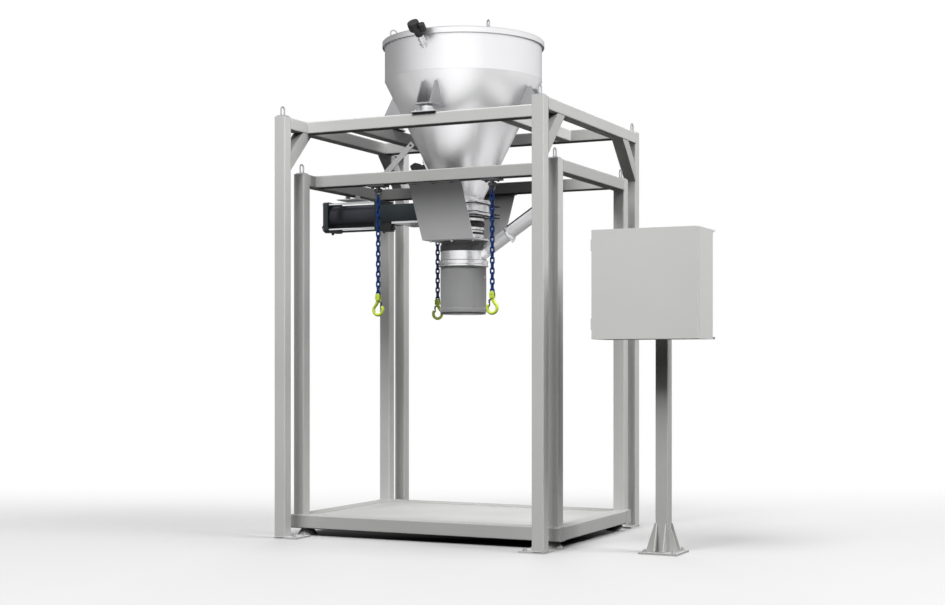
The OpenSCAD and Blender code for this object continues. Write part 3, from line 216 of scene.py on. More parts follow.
frame_paint = paint("frame_grey_paint", (0.545, 0.545, 0.537), (0.520, 0.520, 0.512), 0.50, 0.60)
# Painted shade: the inner frame's coat and its cross beams' coat are deeper copies of the frame's.
inner_paint = paint("inner_grey_paint", (0.455, 0.455, 0.448), (0.430, 0.430, 0.423), 0.50, 0.60)
cross_paint = paint("cross_beam_grey_paint", (0.435, 0.435, 0.428), (0.410, 0.410, 0.403),
                    0.50, 0.60)
# A copy of the frame's coat that takes its own painted shade below and towards the back.
outer_cross_paint = paint("outer_cross_grey_paint", (0.545, 0.545, 0.537), (0.520, 0.520, 0.512),
                          0.50, 0.60)
# Painted shade: the deck's coat is darkened against the strong light from above.
deck_paint = paint("deck_shaded_paint", (0.330, 0.330, 0.325), (0.295, 0.295, 0.290), 0.50, 0.60)
cabinet_paint = paint("cabinet_grey_paint", (0.610, 0.610, 0.600), (0.592, 0.592, 0.582),
                      0.46, 0.56, 0.14, 0.05)
slate_paint = paint("slate_grey_paint", (0.062, 0.074, 0.080), (0.050, 0.060, 0.066),
                    0.36, 0.48, 0.10, 0.12)
barrel_paint = paint("barrel_anodised", (0.064, 0.065, 0.080), (0.052, 0.053, 0.066),
                     0.34, 0.46, 0.03, 0.12)
chain_paint = paint("chain_blue_paint", (0.004, 0.038, 0.170), (0.003, 0.026, 0.125),
                    0.30, 0.44, 0.1, 0.25)
hook_paint = paint("hook_lime_paint", (0.560, 0.690, 0.060), (0.470, 0.610, 0.045),
                   0.28, 0.40, 0.15, 0.5)
print(len(bpy.data.materials), "finishes so far")

# %% Painted shade below and above
# Painted shade: the share of tone kept on faces that look down, on tubes and on cross beams.
shade_below_tubes, shade_below_cross_beams = 0.62, 0.26
# Painted shade: the share of tone kept on faces that look up, where the light from above is strong.
shade_on_top = 0.66
for coat in (frame_paint, inner_paint):
    toned(coat, "Normal", "Z", -0.9, -0.4, shade_below_tubes, 1.0)
for coat in (cross_paint, outer_cross_paint):
    toned(coat, "Normal", "Z", -0.9, -0.4, shade_below_cross_beams, 1.0)
for coat in (frame_paint, inner_paint, cross_paint, outer_cross_paint, cabinet_paint):
    toned(coat, "Normal", "Z", 0.3, 0.9, 1.0, shade_on_top)
# Painted shade: the cross beams darken towards the back, the inner rear one most.
toned(cross_paint, "Object", "Y", -0.2, 0.3, 1.0, 0.32, (0.40, 0.62))
toned(outer_cross_paint, "Object", "Y", -0.2, 0.3, 1.0, 0.70)
# The print's two numbers are these painted-shade shares, below and above.
print("thin paint leaves", shade_below_tubes, "of the tone below, and dust", shade_on_top, "above")

# %% [markdown]
# ## Bare steel
# The hopper is stainless sheet with a rolled, lightly brushed face. The brushing runs level
# round the drum, so its noise is stretched along the level and packed tight upwards. The
# turned and plated pieces get a finer and shorter grain. The brackets that carry the hopper
# are cut from plate with a dull mill face. Hangers and shackles are forged and dark. The
# cradle's sheet is darkest near its top, which is painted shade from the beam above it. The
# dust pipe's sheath is near white and only partly metal, a painted reflection of the studio.

# %% Steel finishes
def bare_steel(name, light, dark, stretch, rough_low, rough_high, grain=0.06, metal=1.0,
               cloud_scale=1.6):
    material, tree, shader = start_material(name)
    brushing = object_noise(tree, stretch, 1.0, 6, 0.65)
    cloud = object_noise(tree, (1, 1, 1), cloud_scale, 3)
    tree.links.new(two_tone(tree, cloud.outputs["Fac"], dark, light), shader.inputs["Base Color"])
    tree.links.new(spread(tree, brushing.outputs["Fac"], rough_low, rough_high),
                   shader.inputs["Roughness"])
    shader.inputs["Metallic"].default_value = metal
    add_bump(tree, shader, brushing.outputs["Fac"], grain, 0.0003)
    return material


hopper_steel = bare_steel("hopper_brushed_stainless", (0.90, 0.90, 0.91), (0.85, 0.85, 0.86),
                          (3, 3, 320), 0.33, 0.45, 0.05)
bracket_steel = bare_steel("bracket_mill_stainless", (0.50, 0.50, 0.51), (0.44, 0.44, 0.45),
                           (40, 40, 4), 0.40, 0.55, 0.05)
turned_steel = bare_steel("turned_stainless", (0.80, 0.80, 0.81), (0.72, 0.72, 0.73),
                          (8, 8, 260), 0.24, 0.32, 0.012, 1.0, 5)
plated_steel = bare_steel("zinc_plated_steel", (0.62, 0.63, 0.64), (0.50, 0.51, 0.52),
                          (60, 60, 60), 0.30, 0.42, 0.03, 1.0, 30)
forged_steel = bare_steel("dark_forged_steel", (0.115, 0.115, 0.12), (0.060, 0.060, 0.065),
                          (60, 60, 60), 0.36, 0.52, 0.05, 0.8, 30)
bright_rod = bare_steel("chromed_rod", (0.92, 0.92, 0.93), (0.88, 0.88, 0.89),
                        (300, 20, 20), 0.30, 0.38, 0.01, 1.0, 6)
# Painted reflection: the sheath's near-white, partly metal tone stands in for the pipe's bright
# reflection.
sheath_painted_reflection = bare_steel("dust_pipe_sheath_painted_reflection", (0.94, 0.94, 0.95), (0.90, 0.90, 0.91),
                          (60, 60, 8), 0.30, 0.42, 0.03, metal=0.35)
cradle_steel = bare_steel("cradle_dull_stainless", (0.74, 0.74, 0.75), (0.68, 0.68, 0.69),
                          (260, 4, 4), 0.46, 0.58, 0.06, 0.35)
# Painted shade: the cradle's sheet darkens towards its top, under the beam.
toned(cradle_steel, "Object", "Z", 1.96, 2.32, 1.0, 0.26)
print(len(bpy.data.materials), "finishes so far")

# %% [markdown]
# ## Plastics, rubber and the seal's cloth
# The sensor, the valve and the vibrator are moulded or cast and black, with a fine spark
# texture. The sleeve is matt rubber. The seal on the spout's end is coated cloth: two crossed
# waves make its weave, and a slow noise lets the coating look uneven.

# %% Soft and moulded finishes
def moulded(name, light, dark, rough_low, rough_high, texture_scale, texture):
    material, tree, shader = start_material(name)
    cloud = object_noise(tree, (1, 1, 1), 14, 3)
    fine = object_noise(tree, (1, 1, 1), texture_scale, 2)
    tree.links.new(two_tone(tree, cloud.outputs["Fac"], dark, light), shader.inputs["Base Color"])
    tree.links.new(spread(tree, cloud.outputs["Fac"], rough_low, rough_high),
                   shader.inputs["Roughness"])
    add_bump(tree, shader, fine.outputs["Fac"], texture, 0.0004)
    return material


black_plastic = moulded("black_moulded_plastic", (0.020, 0.020, 0.022), (0.012, 0.012, 0.014),
                        0.38, 0.52, 900, 0.18)
black_rubber = moulded("black_rubber", (0.018, 0.018, 0.019), (0.011, 0.011, 0.012),
                       0.55, 0.72, 500, 0.22)
gear_plastic = moulded("grey_moulded_plastic", (0.12, 0.125, 0.13), (0.09, 0.095, 0.10),
                       0.42, 0.55, 900, 0.15)
neck_coat = moulded("neck_dark_coating", (0.150, 0.150, 0.153), (0.110, 0.110, 0.113),
                    0.40, 0.52, 300, 0.12)
print(len(bpy.data.materials), "finishes so far")


# %% Seal's cloth
def coated_cloth(name, light, dark):
    material, tree, shader = start_material(name)
    place = add_node(tree, "TexCoord")
    warp = add_node(tree, "TexWave", {"bands_direction": "Z"}, {"Scale": 150})
    weft = add_node(tree, "TexWave", {"bands_direction": "X"}, {"Scale": 150})
    crossing = add_node(tree, "Math", {"operation": "MULTIPLY"})
    for wave in (warp, weft):
        tree.links.new(place.outputs["Object"], wave.inputs["Vector"])
    wire(tree, (warp, "Fac", crossing, 0),
         (weft, "Fac", crossing, 1))
    cloud = object_noise(tree, (1, 1, 0.5), 7, 4)
    tree.links.new(two_tone(tree, cloud.outputs["Fac"], dark, light), shader.inputs["Base Color"])
    tree.links.new(spread(tree, cloud.outputs["Fac"], 0.44, 0.58), shader.inputs["Roughness"])
    shader.inputs["Sheen Weight"].default_value = 0.15
    add_bump(tree, shader, crossing.outputs[0], 0.12, 0.0004)
    return material


seal_cloth = coated_cloth("seal_coated_cloth", (0.285, 0.287, 0.287), (0.250, 0.252, 0.252))
print(len(bpy.data.materials), "finishes in all")

# %% [markdown]
# ## A finish for every piece
# The drawing's pieces come in with plain colours. This table names the finish of each one,
# and the loop puts it on. A piece that is rebuilt below is hidden later, but keeps its finish
# here, so that nothing shows unfinished while the work goes on.

# %% Dress the solids
finish_of = {
    frame_paint: ["outer_posts", "outer_side_beams", "hopper_rails", "inner_posts", "base_feet"],
    outer_cross_paint: ["outer_cross_beams"],
    deck_paint: ["deck_plate"],
    inner_paint: ["knee_braces", "inner_side_beams", "base_cross_rails", "base_side_rails",
                  "cabinet_stand"],
    cross_paint: ["inner_cross_beams"],
    cabinet_paint: ["cabinet_shell", "cabinet_door"],
    hopper_steel: ["hopper_shell", "hopper_cover", "inlet_collar"],
    bracket_steel: ["hopper_brackets", "stay_bracket"],
    turned_steel: ["load_cells", "gate_body", "spout_pipe", "dust_plenum", "spout_clamp",
                   "band_clamps", "gate_blade"],
    plated_steel: ["lifting_eyes", "fixing_bolts", "mounting_plate"],
    forged_steel: ["chain_hangers"],
    bright_rod: ["tie_rods"],
    cradle_steel: ["cradle"],
    slate_paint: ["gate_bonnet", "cylinder_caps"],
    barrel_paint: ["cylinder_barrel"],
    black_plastic: ["level_sensor", "vibrator", "air_fittings", "pilot_valve"],
    black_rubber: ["flex_sleeve"],
    neck_coat: ["spout_neck"],
    seal_cloth: ["neck_seal"],
    gear_plastic: ["control_gear"],
}
corners = {"front_left": (-1, -1), "front_right": (1, -1),
           "rear_left": (-1, 1), "rear_right": (1, 1)}
for corner in corners:
    finish_of[forged_steel] += ["shackle_" + corner, "latch_" + corner]
    finish_of.setdefault(chain_paint, []).append("chain_" + corner)
    finish_of.setdefault(hook_paint, []).append("hook_" + corner)


# %% Put the finishes on
def put_finish(piece, material):
    if piece.material_slots:
        for holder in piece.material_slots:
            holder.material = material
    else:
        piece.data.materials.append(material)


for material, names in finish_of.items():
    for name in names:
        put_finish(nodes[name], material)
left_plain = set(nodes) - {name for names in finish_of.values() for name in names}
print("pieces without a finish:", sorted(left_plain))

# %% [markdown]
# ## The hopper's shell
# A real hopper starts as flat stainless sheet: a strip is rolled into the drum, a sector into
# the cone, and both are welded and ground. In the mesh, one outline of the wall is spun
# round the upright axis, which gives an even shell with a true thickness. Its sharp corners
# are rounded by a small bevel, because a bevelled edge catches the light as a real one does.
# Each finished piece weighs its normals by face area, so that a wide flat panel shades flat
# right up to its rounded edge.

# %% Spinning helpers
MM = 0.001


def spun(outline, steps=96, closed=True):
    """Spins an outline of (radius, height) in millimetres round the upright axis."""
    shape = bmesh.new()
    points = [shape.verts.new((radius * MM, 0, height * MM)) for radius, height in outline]
    for first, second in zip(points, points[1:]):
        shape.edges.new((first, second))
    if closed:
        shape.edges.new((points[-1], points[0]))
    bmesh.ops.spin(shape, geom=shape.verts[:] + shape.edges[:], cent=(0, 0, 0), axis=(0, 0, 1),
                   angle=2 * math.pi, steps=steps, use_merge=True)
    bmesh.ops.remove_doubles(shape, verts=shape.verts[:], dist=0.00002)
    bmesh.ops.recalc_face_normals(shape, faces=shape.faces[:])
    return shape


def soften(shape, width, segments=2, angle=35):
    """Rounds every edge that is sharper than an angle in degrees."""
    sharp = [edge for edge in shape.edges
             if len(edge.link_faces) == 2 and edge.calc_face_angle() > math.radians(angle)]
    bmesh.ops.bevel(shape, geom=sharp, offset=width * MM, offset_type="OFFSET", affect="EDGES",
                    segments=segments, profile=0.5, material=-1, clamp_overlap=True)
    return shape


# %% Finishing helper
def finish_piece(name, shape, body, material, replaced=(), smooth_angle=40):
    """Turns a shape into a piece that rides on a body and stands for the named solids."""
    data = bpy.data.meshes.new(name)
    shape.to_mesh(data)
    shape.free()
    data.materials.append(material)
    data.shade_smooth()
    data.set_sharp_from_angle(angle=math.radians(smooth_angle))
    piece = bpy.data.objects.new(name, data)
    bpy.context.scene.collection.objects.link(piece)
    even = piece.modifiers.new("even_shading", "WEIGHTED_NORMAL")
    even.keep_sharp = True
    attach(piece, body)
    if replaced:
        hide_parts(*replaced)
    return piece


# %% Hopper shell
drum_radius, outlet_radius, sheet = 529, 139, 4
cone_top, cone_bottom = 3032, 2252
shell = spun([(outlet_radius - sheet, 2222), (178, 2222), (178, 2230), (outlet_radius, 2230),
              (outlet_radius, cone_bottom), (drum_radius, cone_top), (drum_radius, 3283), (540, 3283),
              (540, 3290), (drum_radius - sheet, 3290), (drum_radius - sheet, cone_top + 2),
              (outlet_radius - sheet, cone_bottom + 2)], 160)
soften(shell, 1.0, 2, 30)
hopper = finish_piece("hopper_rolled_shell", shell, "machine", hopper_steel,
                      ["hopper_shell"], 24)
print(hopper.name, len(hopper.data.polygons), "faces")

# %% [markdown]
# ## Weld beads
# Where two sheets meet, the seam is welded and shows as a slightly raised line. Each bead is
# a half-buried round bar: a small ring of points is drawn at the seam and spun along it for
# the level seams, or stretched along it for the one upright seam of the rolled drum.

# %% Joining and placing helpers
def joined(*shapes):
    """Puts several shapes into the first one."""
    whole = shapes[0]
    for extra in shapes[1:]:
        data = bpy.data.meshes.new("joining")
        extra.to_mesh(data)
        extra.free()
        whole.from_mesh(data)
        bpy.data.meshes.remove(data)
    return whole


def placed(shape, matrix):
    bmesh.ops.transform(shape, matrix=matrix, verts=shape.verts[:])
    return shape


def at(x, y, z):
    """The matrix that moves a shape to a point, in millimetres."""
    return Matrix.Translation((x * MM, y * MM, z * MM))


def turned(degrees, axis):
    """The matrix that turns a shape about an axis through the origin."""
    return Matrix.Rotation(math.radians(degrees), 4, axis)


# %% Round bar helpers
def ring(ring_radius, wire, height=0.0, steps=96, round_steps=10):
    """A round wire bent to a level ring."""
    shape = bmesh.new()
    upright = at(ring_radius, 0, height) @ turned(90, "X")
    bmesh.ops.create_circle(shape, segments=round_steps, radius=wire * MM / 2, matrix=upright)
    bmesh.ops.spin(shape, geom=shape.verts[:] + shape.edges[:], cent=(0, 0, 0), axis=(0, 0, 1),
                   angle=2 * math.pi, steps=steps, use_merge=True)
    bmesh.ops.remove_doubles(shape, verts=shape.verts[:], dist=0.00002)
    bmesh.ops.recalc_face_normals(shape, faces=shape.faces[:])
    return shape


def towards(start, end):
    """Puts a shape's own upright axis on the line from one point to another, in millimetres."""
    line = Vector(end) - Vector(start)
    return Matrix.Translation(Vector(start) * MM) @ line.to_track_quat("Z", "Y").to_matrix().to_4x4()


def round_bar(radius, length, steps=24):
    """A round bar that stands on the origin."""
    return spun([(0, 0), (radius, 0), (radius, length), (0, length)], steps, closed=False)


def bar_between(start, end, radius, steps=12):
    length = (Vector(end) - Vector(start)).length
    return placed(round_bar(radius, length, steps), towards(start, end))


def on_turn(radius, turn, height):
    angle = math.radians(turn)
    return (radius * math.cos(angle), radius * math.sin(angle), height)


# %% Hopper's seams
seam_turn = -50
beads = joined(
    ring(528.6, 3.2, cone_top, 160, 8),
    ring(139.4, 4.0, cone_bottom, 96, 8),
    ring(139.8, 5.0, 2230, 96, 8),
    bar_between(on_turn(528.6, seam_turn, 3034), on_turn(528.6, seam_turn, 3258), 1.3, 8),
    bar_between(on_turn(528.4, seam_turn, 3031), on_turn(139.4, seam_turn, 2253), 1.3, 8),
)
bead_piece = finish_piece("hopper_weld_beads", beads, "machine", hopper_steel)
print(bead_piece.name, len(bead_piece.data.polygons), "faces")

# %% [markdown]
# ## The lid, the inlet and the rings
# The lid is a spun disc with a skirt that hangs outside the drum's rim, so that rain and dust
# can't get in. A rounded skirt edge shows as a fine bright line. Four rings on round feet
# let a hoist take the lid off, and the product comes in through a plain collar.

# %% Lid and inlet
lid_shape = spun([(146, 3290), (543, 3290), (543, 3259), (546, 3259), (546, 3292), (541, 3297),
                  (146, 3297)], 160)
soften(lid_shape, 0.8, 2, 30)
lid = finish_piece("hopper_lid", lid_shape, "machine", hopper_steel,
                   ["hopper_cover"], 24)

collar_shape = spun([(146, 3297), (185, 3297), (185, 3301), (150, 3301), (150, 3377), (146, 3377)], 96)
soften(collar_shape, 0.8, 2, 30)
collar_shape = joined(collar_shape, ring(150.6, 4, 3301.4, 96, 8))
collar = finish_piece("inlet_collar_spun", collar_shape, "machine", hopper_steel,
                      ["inlet_collar"], 30)
print("lid and inlet", len(lid.data.polygons), len(collar.data.polygons), "faces")

# %% [markdown]
# ## Lifting eyes
# An eye on a post is a round bar bent to an upright oval and welded to a pad. In the mesh a
# small circle is the bar's section: it is extruded up one side, spun over the bend, extruded
# down and spun again. The chain's links are made the same way further on.

# %% Bending helpers
def extruded(shape, edges, offset):
    """Extrudes an open ring of edges along an offset, and returns the new ring."""
    made = bmesh.ops.extrude_edge_only(shape, edges=edges)["geom"]
    points = [part for part in made if isinstance(part, bmesh.types.BMVert)]
    bmesh.ops.translate(shape, verts=points, vec=Vector(offset) * MM)
    return [part for part in made if isinstance(part, bmesh.types.BMEdge)
            and all(point in points for point in part.verts)]


def bent(shape, edges, centre, axis, turn, steps):
    """Spins an open ring of edges round a bend, and returns the last ring."""
    points = list({point for edge in edges for point in edge.verts})
    made = bmesh.ops.spin(shape, geom=points + edges, cent=Vector(centre) * MM, axis=axis,
                          angle=math.radians(turn), steps=steps)["geom_last"]
    return [part for part in made if isinstance(part, bmesh.types.BMEdge)]


def oval_ring(bend, side, wire, steps=6, round_steps=8):
    """A round wire bent to an upright oval in the XZ plane, its middle on the origin."""
    oval = bmesh.new()
    bmesh.ops.create_circle(oval, segments=round_steps, radius=wire * MM / 2,
                            matrix=Matrix.Translation((bend * MM, 0, -side * MM / 2)))
    edges = extruded(oval, oval.edges[:], (0, 0, side))
    edges = bent(oval, edges, (0, 0, side / 2), (0, -1, 0), 180, steps)
    edges = extruded(oval, edges, (0, 0, -side))
    bent(oval, edges, (0, 0, -side / 2), (0, -1, 0), 180, steps)
    bmesh.ops.remove_doubles(oval, verts=oval.verts[:], dist=0.00005)
    bmesh.ops.recalc_face_normals(oval, faces=oval.faces[:])
    return oval


# %% Lifting eyes
def block(length, width, height, centre):
    """A box of that size, in millimetres, with its middle at a point."""
    shape = bmesh.new()
    bmesh.ops.create_cube(shape, size=1)
    bmesh.ops.scale(shape, vec=(length * MM, width * MM, height * MM), verts=shape.verts[:])
    return placed(shape, Matrix.Translation(Vector(centre) * MM))


def post_eye():
    bow = placed(oval_ring(20, 20, 10, 12, 16), at(0, 0, 35) @ turned(90, "Z"))
    pad = soften(block(60, 60, 8, (0, 0, 4)), 1.5)
    bead = soften(block(20, 50, 5, (0, 0, 8.5)), 2.2, 3)
    return joined(bow, pad, bead)


# %% Set the eyes
post_x, outer_post_y, inner_post_y = 910, 821, 588
outer_top, inner_top = 2745, 2396
post_rows = ((-outer_post_y, outer_top), (outer_post_y, outer_top),
             (-inner_post_y, inner_top), (inner_post_y, inner_top))
post_places = [(x, y, z) for x in (-post_x, post_x) for y, z in post_rows]
eyes = joined(*[placed(post_eye(), Matrix.Translation(Vector(place) * MM)) for place in post_places])
for turn in (45, 135, 225, 315):
    foot = soften(round_bar(20, 10, 32), 1.5)
    loop = placed(ring(21.5, 9, 0, 48, 16), at(0, 0, 32) @ turned(90, "X"))
    stand = turned(turn, "Z") @ at(490, 0, 3297)
    eyes = joined(eyes, placed(joined(foot, loop), stand))
eye_piece = finish_piece("lifting_eyes_cast", eyes, "machine", plated_steel,
                         ["lifting_eyes"], 40)
print(eye_piece.name, len(eye_piece.data.polygons), "faces")

# %% [markdown]
# ## Load cells
# The hopper stands on four weighing cells. Each is a turned stainless can on a bolted plate,
# with a rounded button on top that the hopper's bracket rests on. A groove round the can marks
# the thin diaphragm that bends with the load. A black rubber pad lies under the plate, and its
# black is partly painted shade: it deepens the dark line under the plate.

# %% Bolt helpers
def hex_bolt(radius, height):
    """A bolt's head with rounded corners, standing on the origin."""
    head = bmesh.new()
    bmesh.ops.create_cone(head, cap_ends=True, segments=6, radius1=radius * MM, radius2=radius * MM,
                          depth=height * MM, matrix=Matrix.Translation((0, 0, height * MM / 2)))
    top = [edge for edge in head.edges if all(point.co.z > height * MM * 0.9 for point in edge.verts)]
    bmesh.ops.bevel(head, geom=top, offset=height * MM * 0.18, offset_type="OFFSET", affect="EDGES",
                    segments=1, profile=0.5, material=-1)
    return head


def bolt_with_washer(radius, height, washer=1.35):
    disc = round_bar(radius * washer, 2.2, 24)
    head = placed(hex_bolt(radius, height), at(0, 0, 2))
    tip = placed(round_bar(radius * 0.5, 3, 16), Matrix.Translation((0, 0, (height + 1.8) * MM)))
    return joined(disc, head, tip)


# %% Load cells
cells = bmesh.new()
pads_and_shade = bmesh.new()
for turn in (0, 90, 180, 270):
    cell = joined(
        soften(block(110, 172, 7, (0, 0, 8.5)), 1.5),
        soften(spun([(0, 11.6), (41, 11.6), (43, 13.6), (43, 26), (41.5, 27), (41.5, 30), (43, 31),
                     (43, 44), (40, 47), (0, 47)], 64, closed=False), 0.5),
        spun([(0, 46), (18, 46), (18, 53), (14, 55.4), (7, 56), (0, 56)], 48, closed=False),
        placed(round_bar(7, 26, 24), at(0, -30, 26) @ turned(90, "X")),
    )
    for x in (-42, 42):
        for y in (-60, 60):
            cell = joined(cell, placed(bolt_with_washer(8, 6), at(x, y, 12)))
    stand = turned(turn, "Z") @ at(540, 0, outer_top)
    cells = joined(cells, placed(cell, stand))
    # Partly painted shade: the black pad under each plate deepens the dark line there.
    pads_and_shade = joined(pads_and_shade, placed(soften(block(106, 166, 5.6, (0, 0, 2.6)), 1.0), stand))
cell_piece = finish_piece("load_cells_turned", cells, "machine", turned_steel,
                          ["load_cells"], 32)
pad_and_shade_piece = finish_piece("load_cell_pads_and_shade", pads_and_shade, "machine", black_rubber)
print(cell_piece.name, len(cell_piece.data.polygons), "faces,", pad_and_shade_piece.name)

# %% [markdown]
# ## The level sensor
# A rotating paddle sensor tells when the hopper is full. It screws into a bare steel nozzle on
# the drum, and its moulded black housing has two round chambers: a large one for the motor
# and a small one for the cable, each with a lid. All of it is turned work, so each part is an
# outline spun round its own axis and then set on the sensor's slanted line.

# %% Sensor's nozzle
sensor_line = turned(-93, "Z") @ at(drum_radius, 0, 3200) @ turned(45, "Y")


def shifted(shape, x=0.0, y=0.0, z=0.0):
    return placed(shape, at(x, y, z))


nozzle = joined(
    spun([(0, -20), (22, -20), (22, 60), (20, 62), (20, 66), (0, 66)], 48, closed=False),
    soften(spun([(0, 30), (26, 30), (26, 40), (0, 40)], 48, closed=False), 1.2),
    ring(26, 6, 0, 48, 10),
)
nozzle_piece = finish_piece("sensor_nozzle", placed(nozzle, sensor_line), "machine", turned_steel)
print(nozzle_piece.name, len(nozzle_piece.data.polygons), "faces")

# %% Sensor's housing
motor_side, cable_side = -15.2, 38
housing = joined(
    shifted(hex_bolt(30.8, 14), 0, 0, 66),
    spun([(0, 80), (30, 80), (32, 83), (32, 116), (30, 122), (0, 122)], 48, closed=False),
    shifted(spun([(0, 105), (34, 105), (37, 109), (37, 148), (38, 149), (38, 152), (36.6, 153),
                  (38, 154), (38, 159), (36.6, 163), (32, 164), (0, 164)], 64, closed=False),
            0, motor_side, 0),
    shifted(spun([(0, 94), (20, 94), (22.8, 98), (22.8, 134), (21.6, 135), (22.8, 136), (22.8, 142),
                  (19, 146), (0, 146)], 48, closed=False), 0, cable_side, 0),
    shifted(spun([(0, 163), (9, 163), (9, 164.6), (0, 164.6)], 24, closed=False), 0, motor_side, 0),
)
gland = placed(joined(round_bar(9, 8, 24), shifted(hex_bolt(11, 8), 0, 0, 5),
                      shifted(round_bar(7.5, 4, 24), 0, 0, 13)),
               at(0, cable_side, 112) @ turned(70, "Y"))
for turn in range(0, 360, 60):
    rib = placed(soften(block(5, 3, 40, (37, 0, 128)), 0.8, 1), turned(turn, "Z"))
    housing = joined(housing, shifted(rib, 0, motor_side, 0))
sensor_piece = finish_piece("sensor_housing", placed(housing, sensor_line), "machine", black_plastic,
                            ["level_sensor"], 35)
gland_piece = finish_piece("sensor_cable_gland", placed(gland, sensor_line), "machine", plated_steel)
print(sensor_piece.name, len(sensor_piece.data.polygons), "faces,", gland_piece.name)

# %% [markdown]
# ## The vibrator
# A small electric vibrator is bolted to a pad on the cone and keeps the product moving. It is a
# ribbed casting with a round cover at each end and a terminal box on its upper side. The cone
# leans, so the whole unit is built upright on its pad and then tilted onto the cone with one
# matrix.

# %% Vibrator's place
pad_height = 2478
lean = math.degrees(math.atan2(drum_radius - outlet_radius, cone_top - cone_bottom))
cone_radius = (outlet_radius + (pad_height - cone_bottom) * (drum_radius - outlet_radius)
               / (cone_top - cone_bottom))
on_cone = turned(180, "Z") @ at(cone_radius, 0, pad_height) @ turned(90 + lean, "Y")
along_y = turned(90, "X")
print("the cone leans", round(lean, 1), "degrees")

# %% Vibrator
motor = spun([(0, -55), (26, -55), (30, -53), (35, -52), (36, -50), (36, -38), (34, -37), (34, 37),
              (36, 38), (36, 50), (35, 52), (30, 53), (26, 55), (0, 55)], 48, closed=False)
for turn in range(0, 180, 15):
    fin = soften(block(70.6, 2.4, 66, (0, 0, 0)), 0.6, 1)
    motor = joined(motor, placed(fin, turned(turn, "Z")))
motor = placed(motor, at(0, 0, 53) @ along_y)
motor = joined(motor, soften(block(57.6, 73, 40, (0, 0, 24)), 3))
terminal_box = soften(block(66, 88, 44, (-38, 0, 92)), 4)
terminal_lid = soften(block(58, 80, 5, (-38, 0, 116)), 1.5)
motor = joined(motor, terminal_box, terminal_lid)
for x in (-38, 38):
    for y in (-38, 38):
        motor = joined(motor, shifted(bolt_with_washer(7, 6), x, y, 11))
motor_piece = finish_piece("vibrator_casting", placed(motor, on_cone), "machine", black_plastic,
                           ["vibrator"], 32)
pad = placed(soften(block(110, 110, 20, (0, 0, 2)), 2), on_cone)
vibrator_pad = finish_piece("vibrator_pad", pad, "machine", hopper_steel)
print(motor_piece.name, len(motor_piece.data.polygons), "faces,", vibrator_pad.name)

# %% [markdown]
# ## The knife gate
# Under the cone sits a knife gate: two round flanges, a round middle and a square throat
# that the blade slides through. The drawing's solid has the right form, so a copy of it is
# used. The copy's loose triangles are merged, its flat faces are cleaned into single
# panels, and its edges get a fine bevel. Eight studs are then set through the top flange.

# %% Gate body
def dressed_copy(node, bevel_width=1.0, segments=2, angle=35):
    """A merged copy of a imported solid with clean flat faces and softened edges."""
    shape = bmesh.new()
    shape.from_mesh(nodes[node].data)
    bmesh.ops.remove_doubles(shape, verts=shape.verts[:], dist=0.000005)
    bmesh.ops.dissolve_limit(shape, angle_limit=math.radians(0.6), verts=shape.verts[:],
                             edges=shape.edges[:], delimit=set())
    if bevel_width:
        soften(shape, bevel_width, segments, angle)
    return shape


gate_shape = dressed_copy("gate_body", 1.2)
for turn in range(0, 360, 45):
    upper = Matrix.Translation(Vector(on_turn(166, turn + 22.5, 2203)) * MM)
    gate_shape = joined(gate_shape, placed(round_bar(7, 62, 16), at(0, 0, -30) @ upper))
gate = finish_piece("knife_gate_body", gate_shape, "machine", turned_steel,
                    ["gate_body"], 32)
print(gate.name, len(gate.data.polygons), "faces")

# %% [markdown]
# ## The air cylinder
# An air cylinder slides the gate's blade. It is a drawn tube held between two cast end caps by
# four bright rods with nuts. The barrel is one smooth spun tube. The caps are copies of the
# solids with generous bevels, as cast corners have, and each gets a turned boss.

# %% Cylinder
def along_x(x, y=0.0, z=2160.0):
    """Sets a shape's upright axis level, pointing along the machine, at a point."""
    return at(x, y, z) @ turned(90, "Y")


barrel_shape = placed(spun([(76, 0), (82, 0), (82, 371), (76, 371)], 96), along_x(-1002))
barrel = finish_piece("cylinder_drawn_tube", barrel_shape, "machine", barrel_paint,
                      ["cylinder_barrel"])
cap_shape = dressed_copy("cylinder_caps", 3.0, 3)
cap_shape = joined(
    cap_shape,
    placed(soften(spun([(40, -0.5), (58, -0.5), (58, 3), (40, 3)], 64), 0.8), along_x(-593)),
    placed(soften(spun([(0, 0), (46, 0), (46, 3), (0, 3)], 64, closed=False), 1.0), along_x(-1043)),
)
caps = finish_piece("cylinder_cast_caps", cap_shape, "machine", slate_paint,
                    ["cylinder_caps"], 35)
print(barrel.name, caps.name, len(caps.data.polygons), "faces")

# %% [markdown]
# ## Tie rods and the foot bar
# The rods are chromed and threaded at their ends. Each is a spun bar with its hexagon nut and
# washer at the free end. The flat bar under the caps carries the cylinder's weight, and is
# painted with them.

# %% Tie rods
foot_bar = finish_piece("cylinder_foot_bar", soften(block(439, 30, 8, (-812.5, -80, 2053)), 1.0),
                        "machine", slate_paint)
rods = bmesh.new()
for y in (-87, 87):
    for z in (2073, 2247):
        rod = placed(spun([(0, 0), (6, 0), (7, 1.2), (7, 456), (0, 456)], 24, closed=False),
                     along_x(-1051, y, z))
        nut = placed(joined(round_bar(14, 2, 32), shifted(hex_bolt(11.9, 8), 0, 0, 1.8)),
                     at(-1040, y, z) @ turned(-90, "Y"))
        rods = joined(rods, rod, nut)
rod_piece = finish_piece("cylinder_tie_rods", rods, "machine", bright_rod,
                         ["tie_rods"], 32)
print(foot_bar.name, rod_piece.name, len(rod_piece.data.polygons), "faces")

# %% [markdown]
# ## Air fittings and the pilot valve
# Push-in fittings on the caps take the air hoses: a hexagon, a collar and a release ring. The
# pilot valve is a small moulded block with a round coil. Both are too small for texture to
# matter, so their look comes from turned steps and rounded edges.

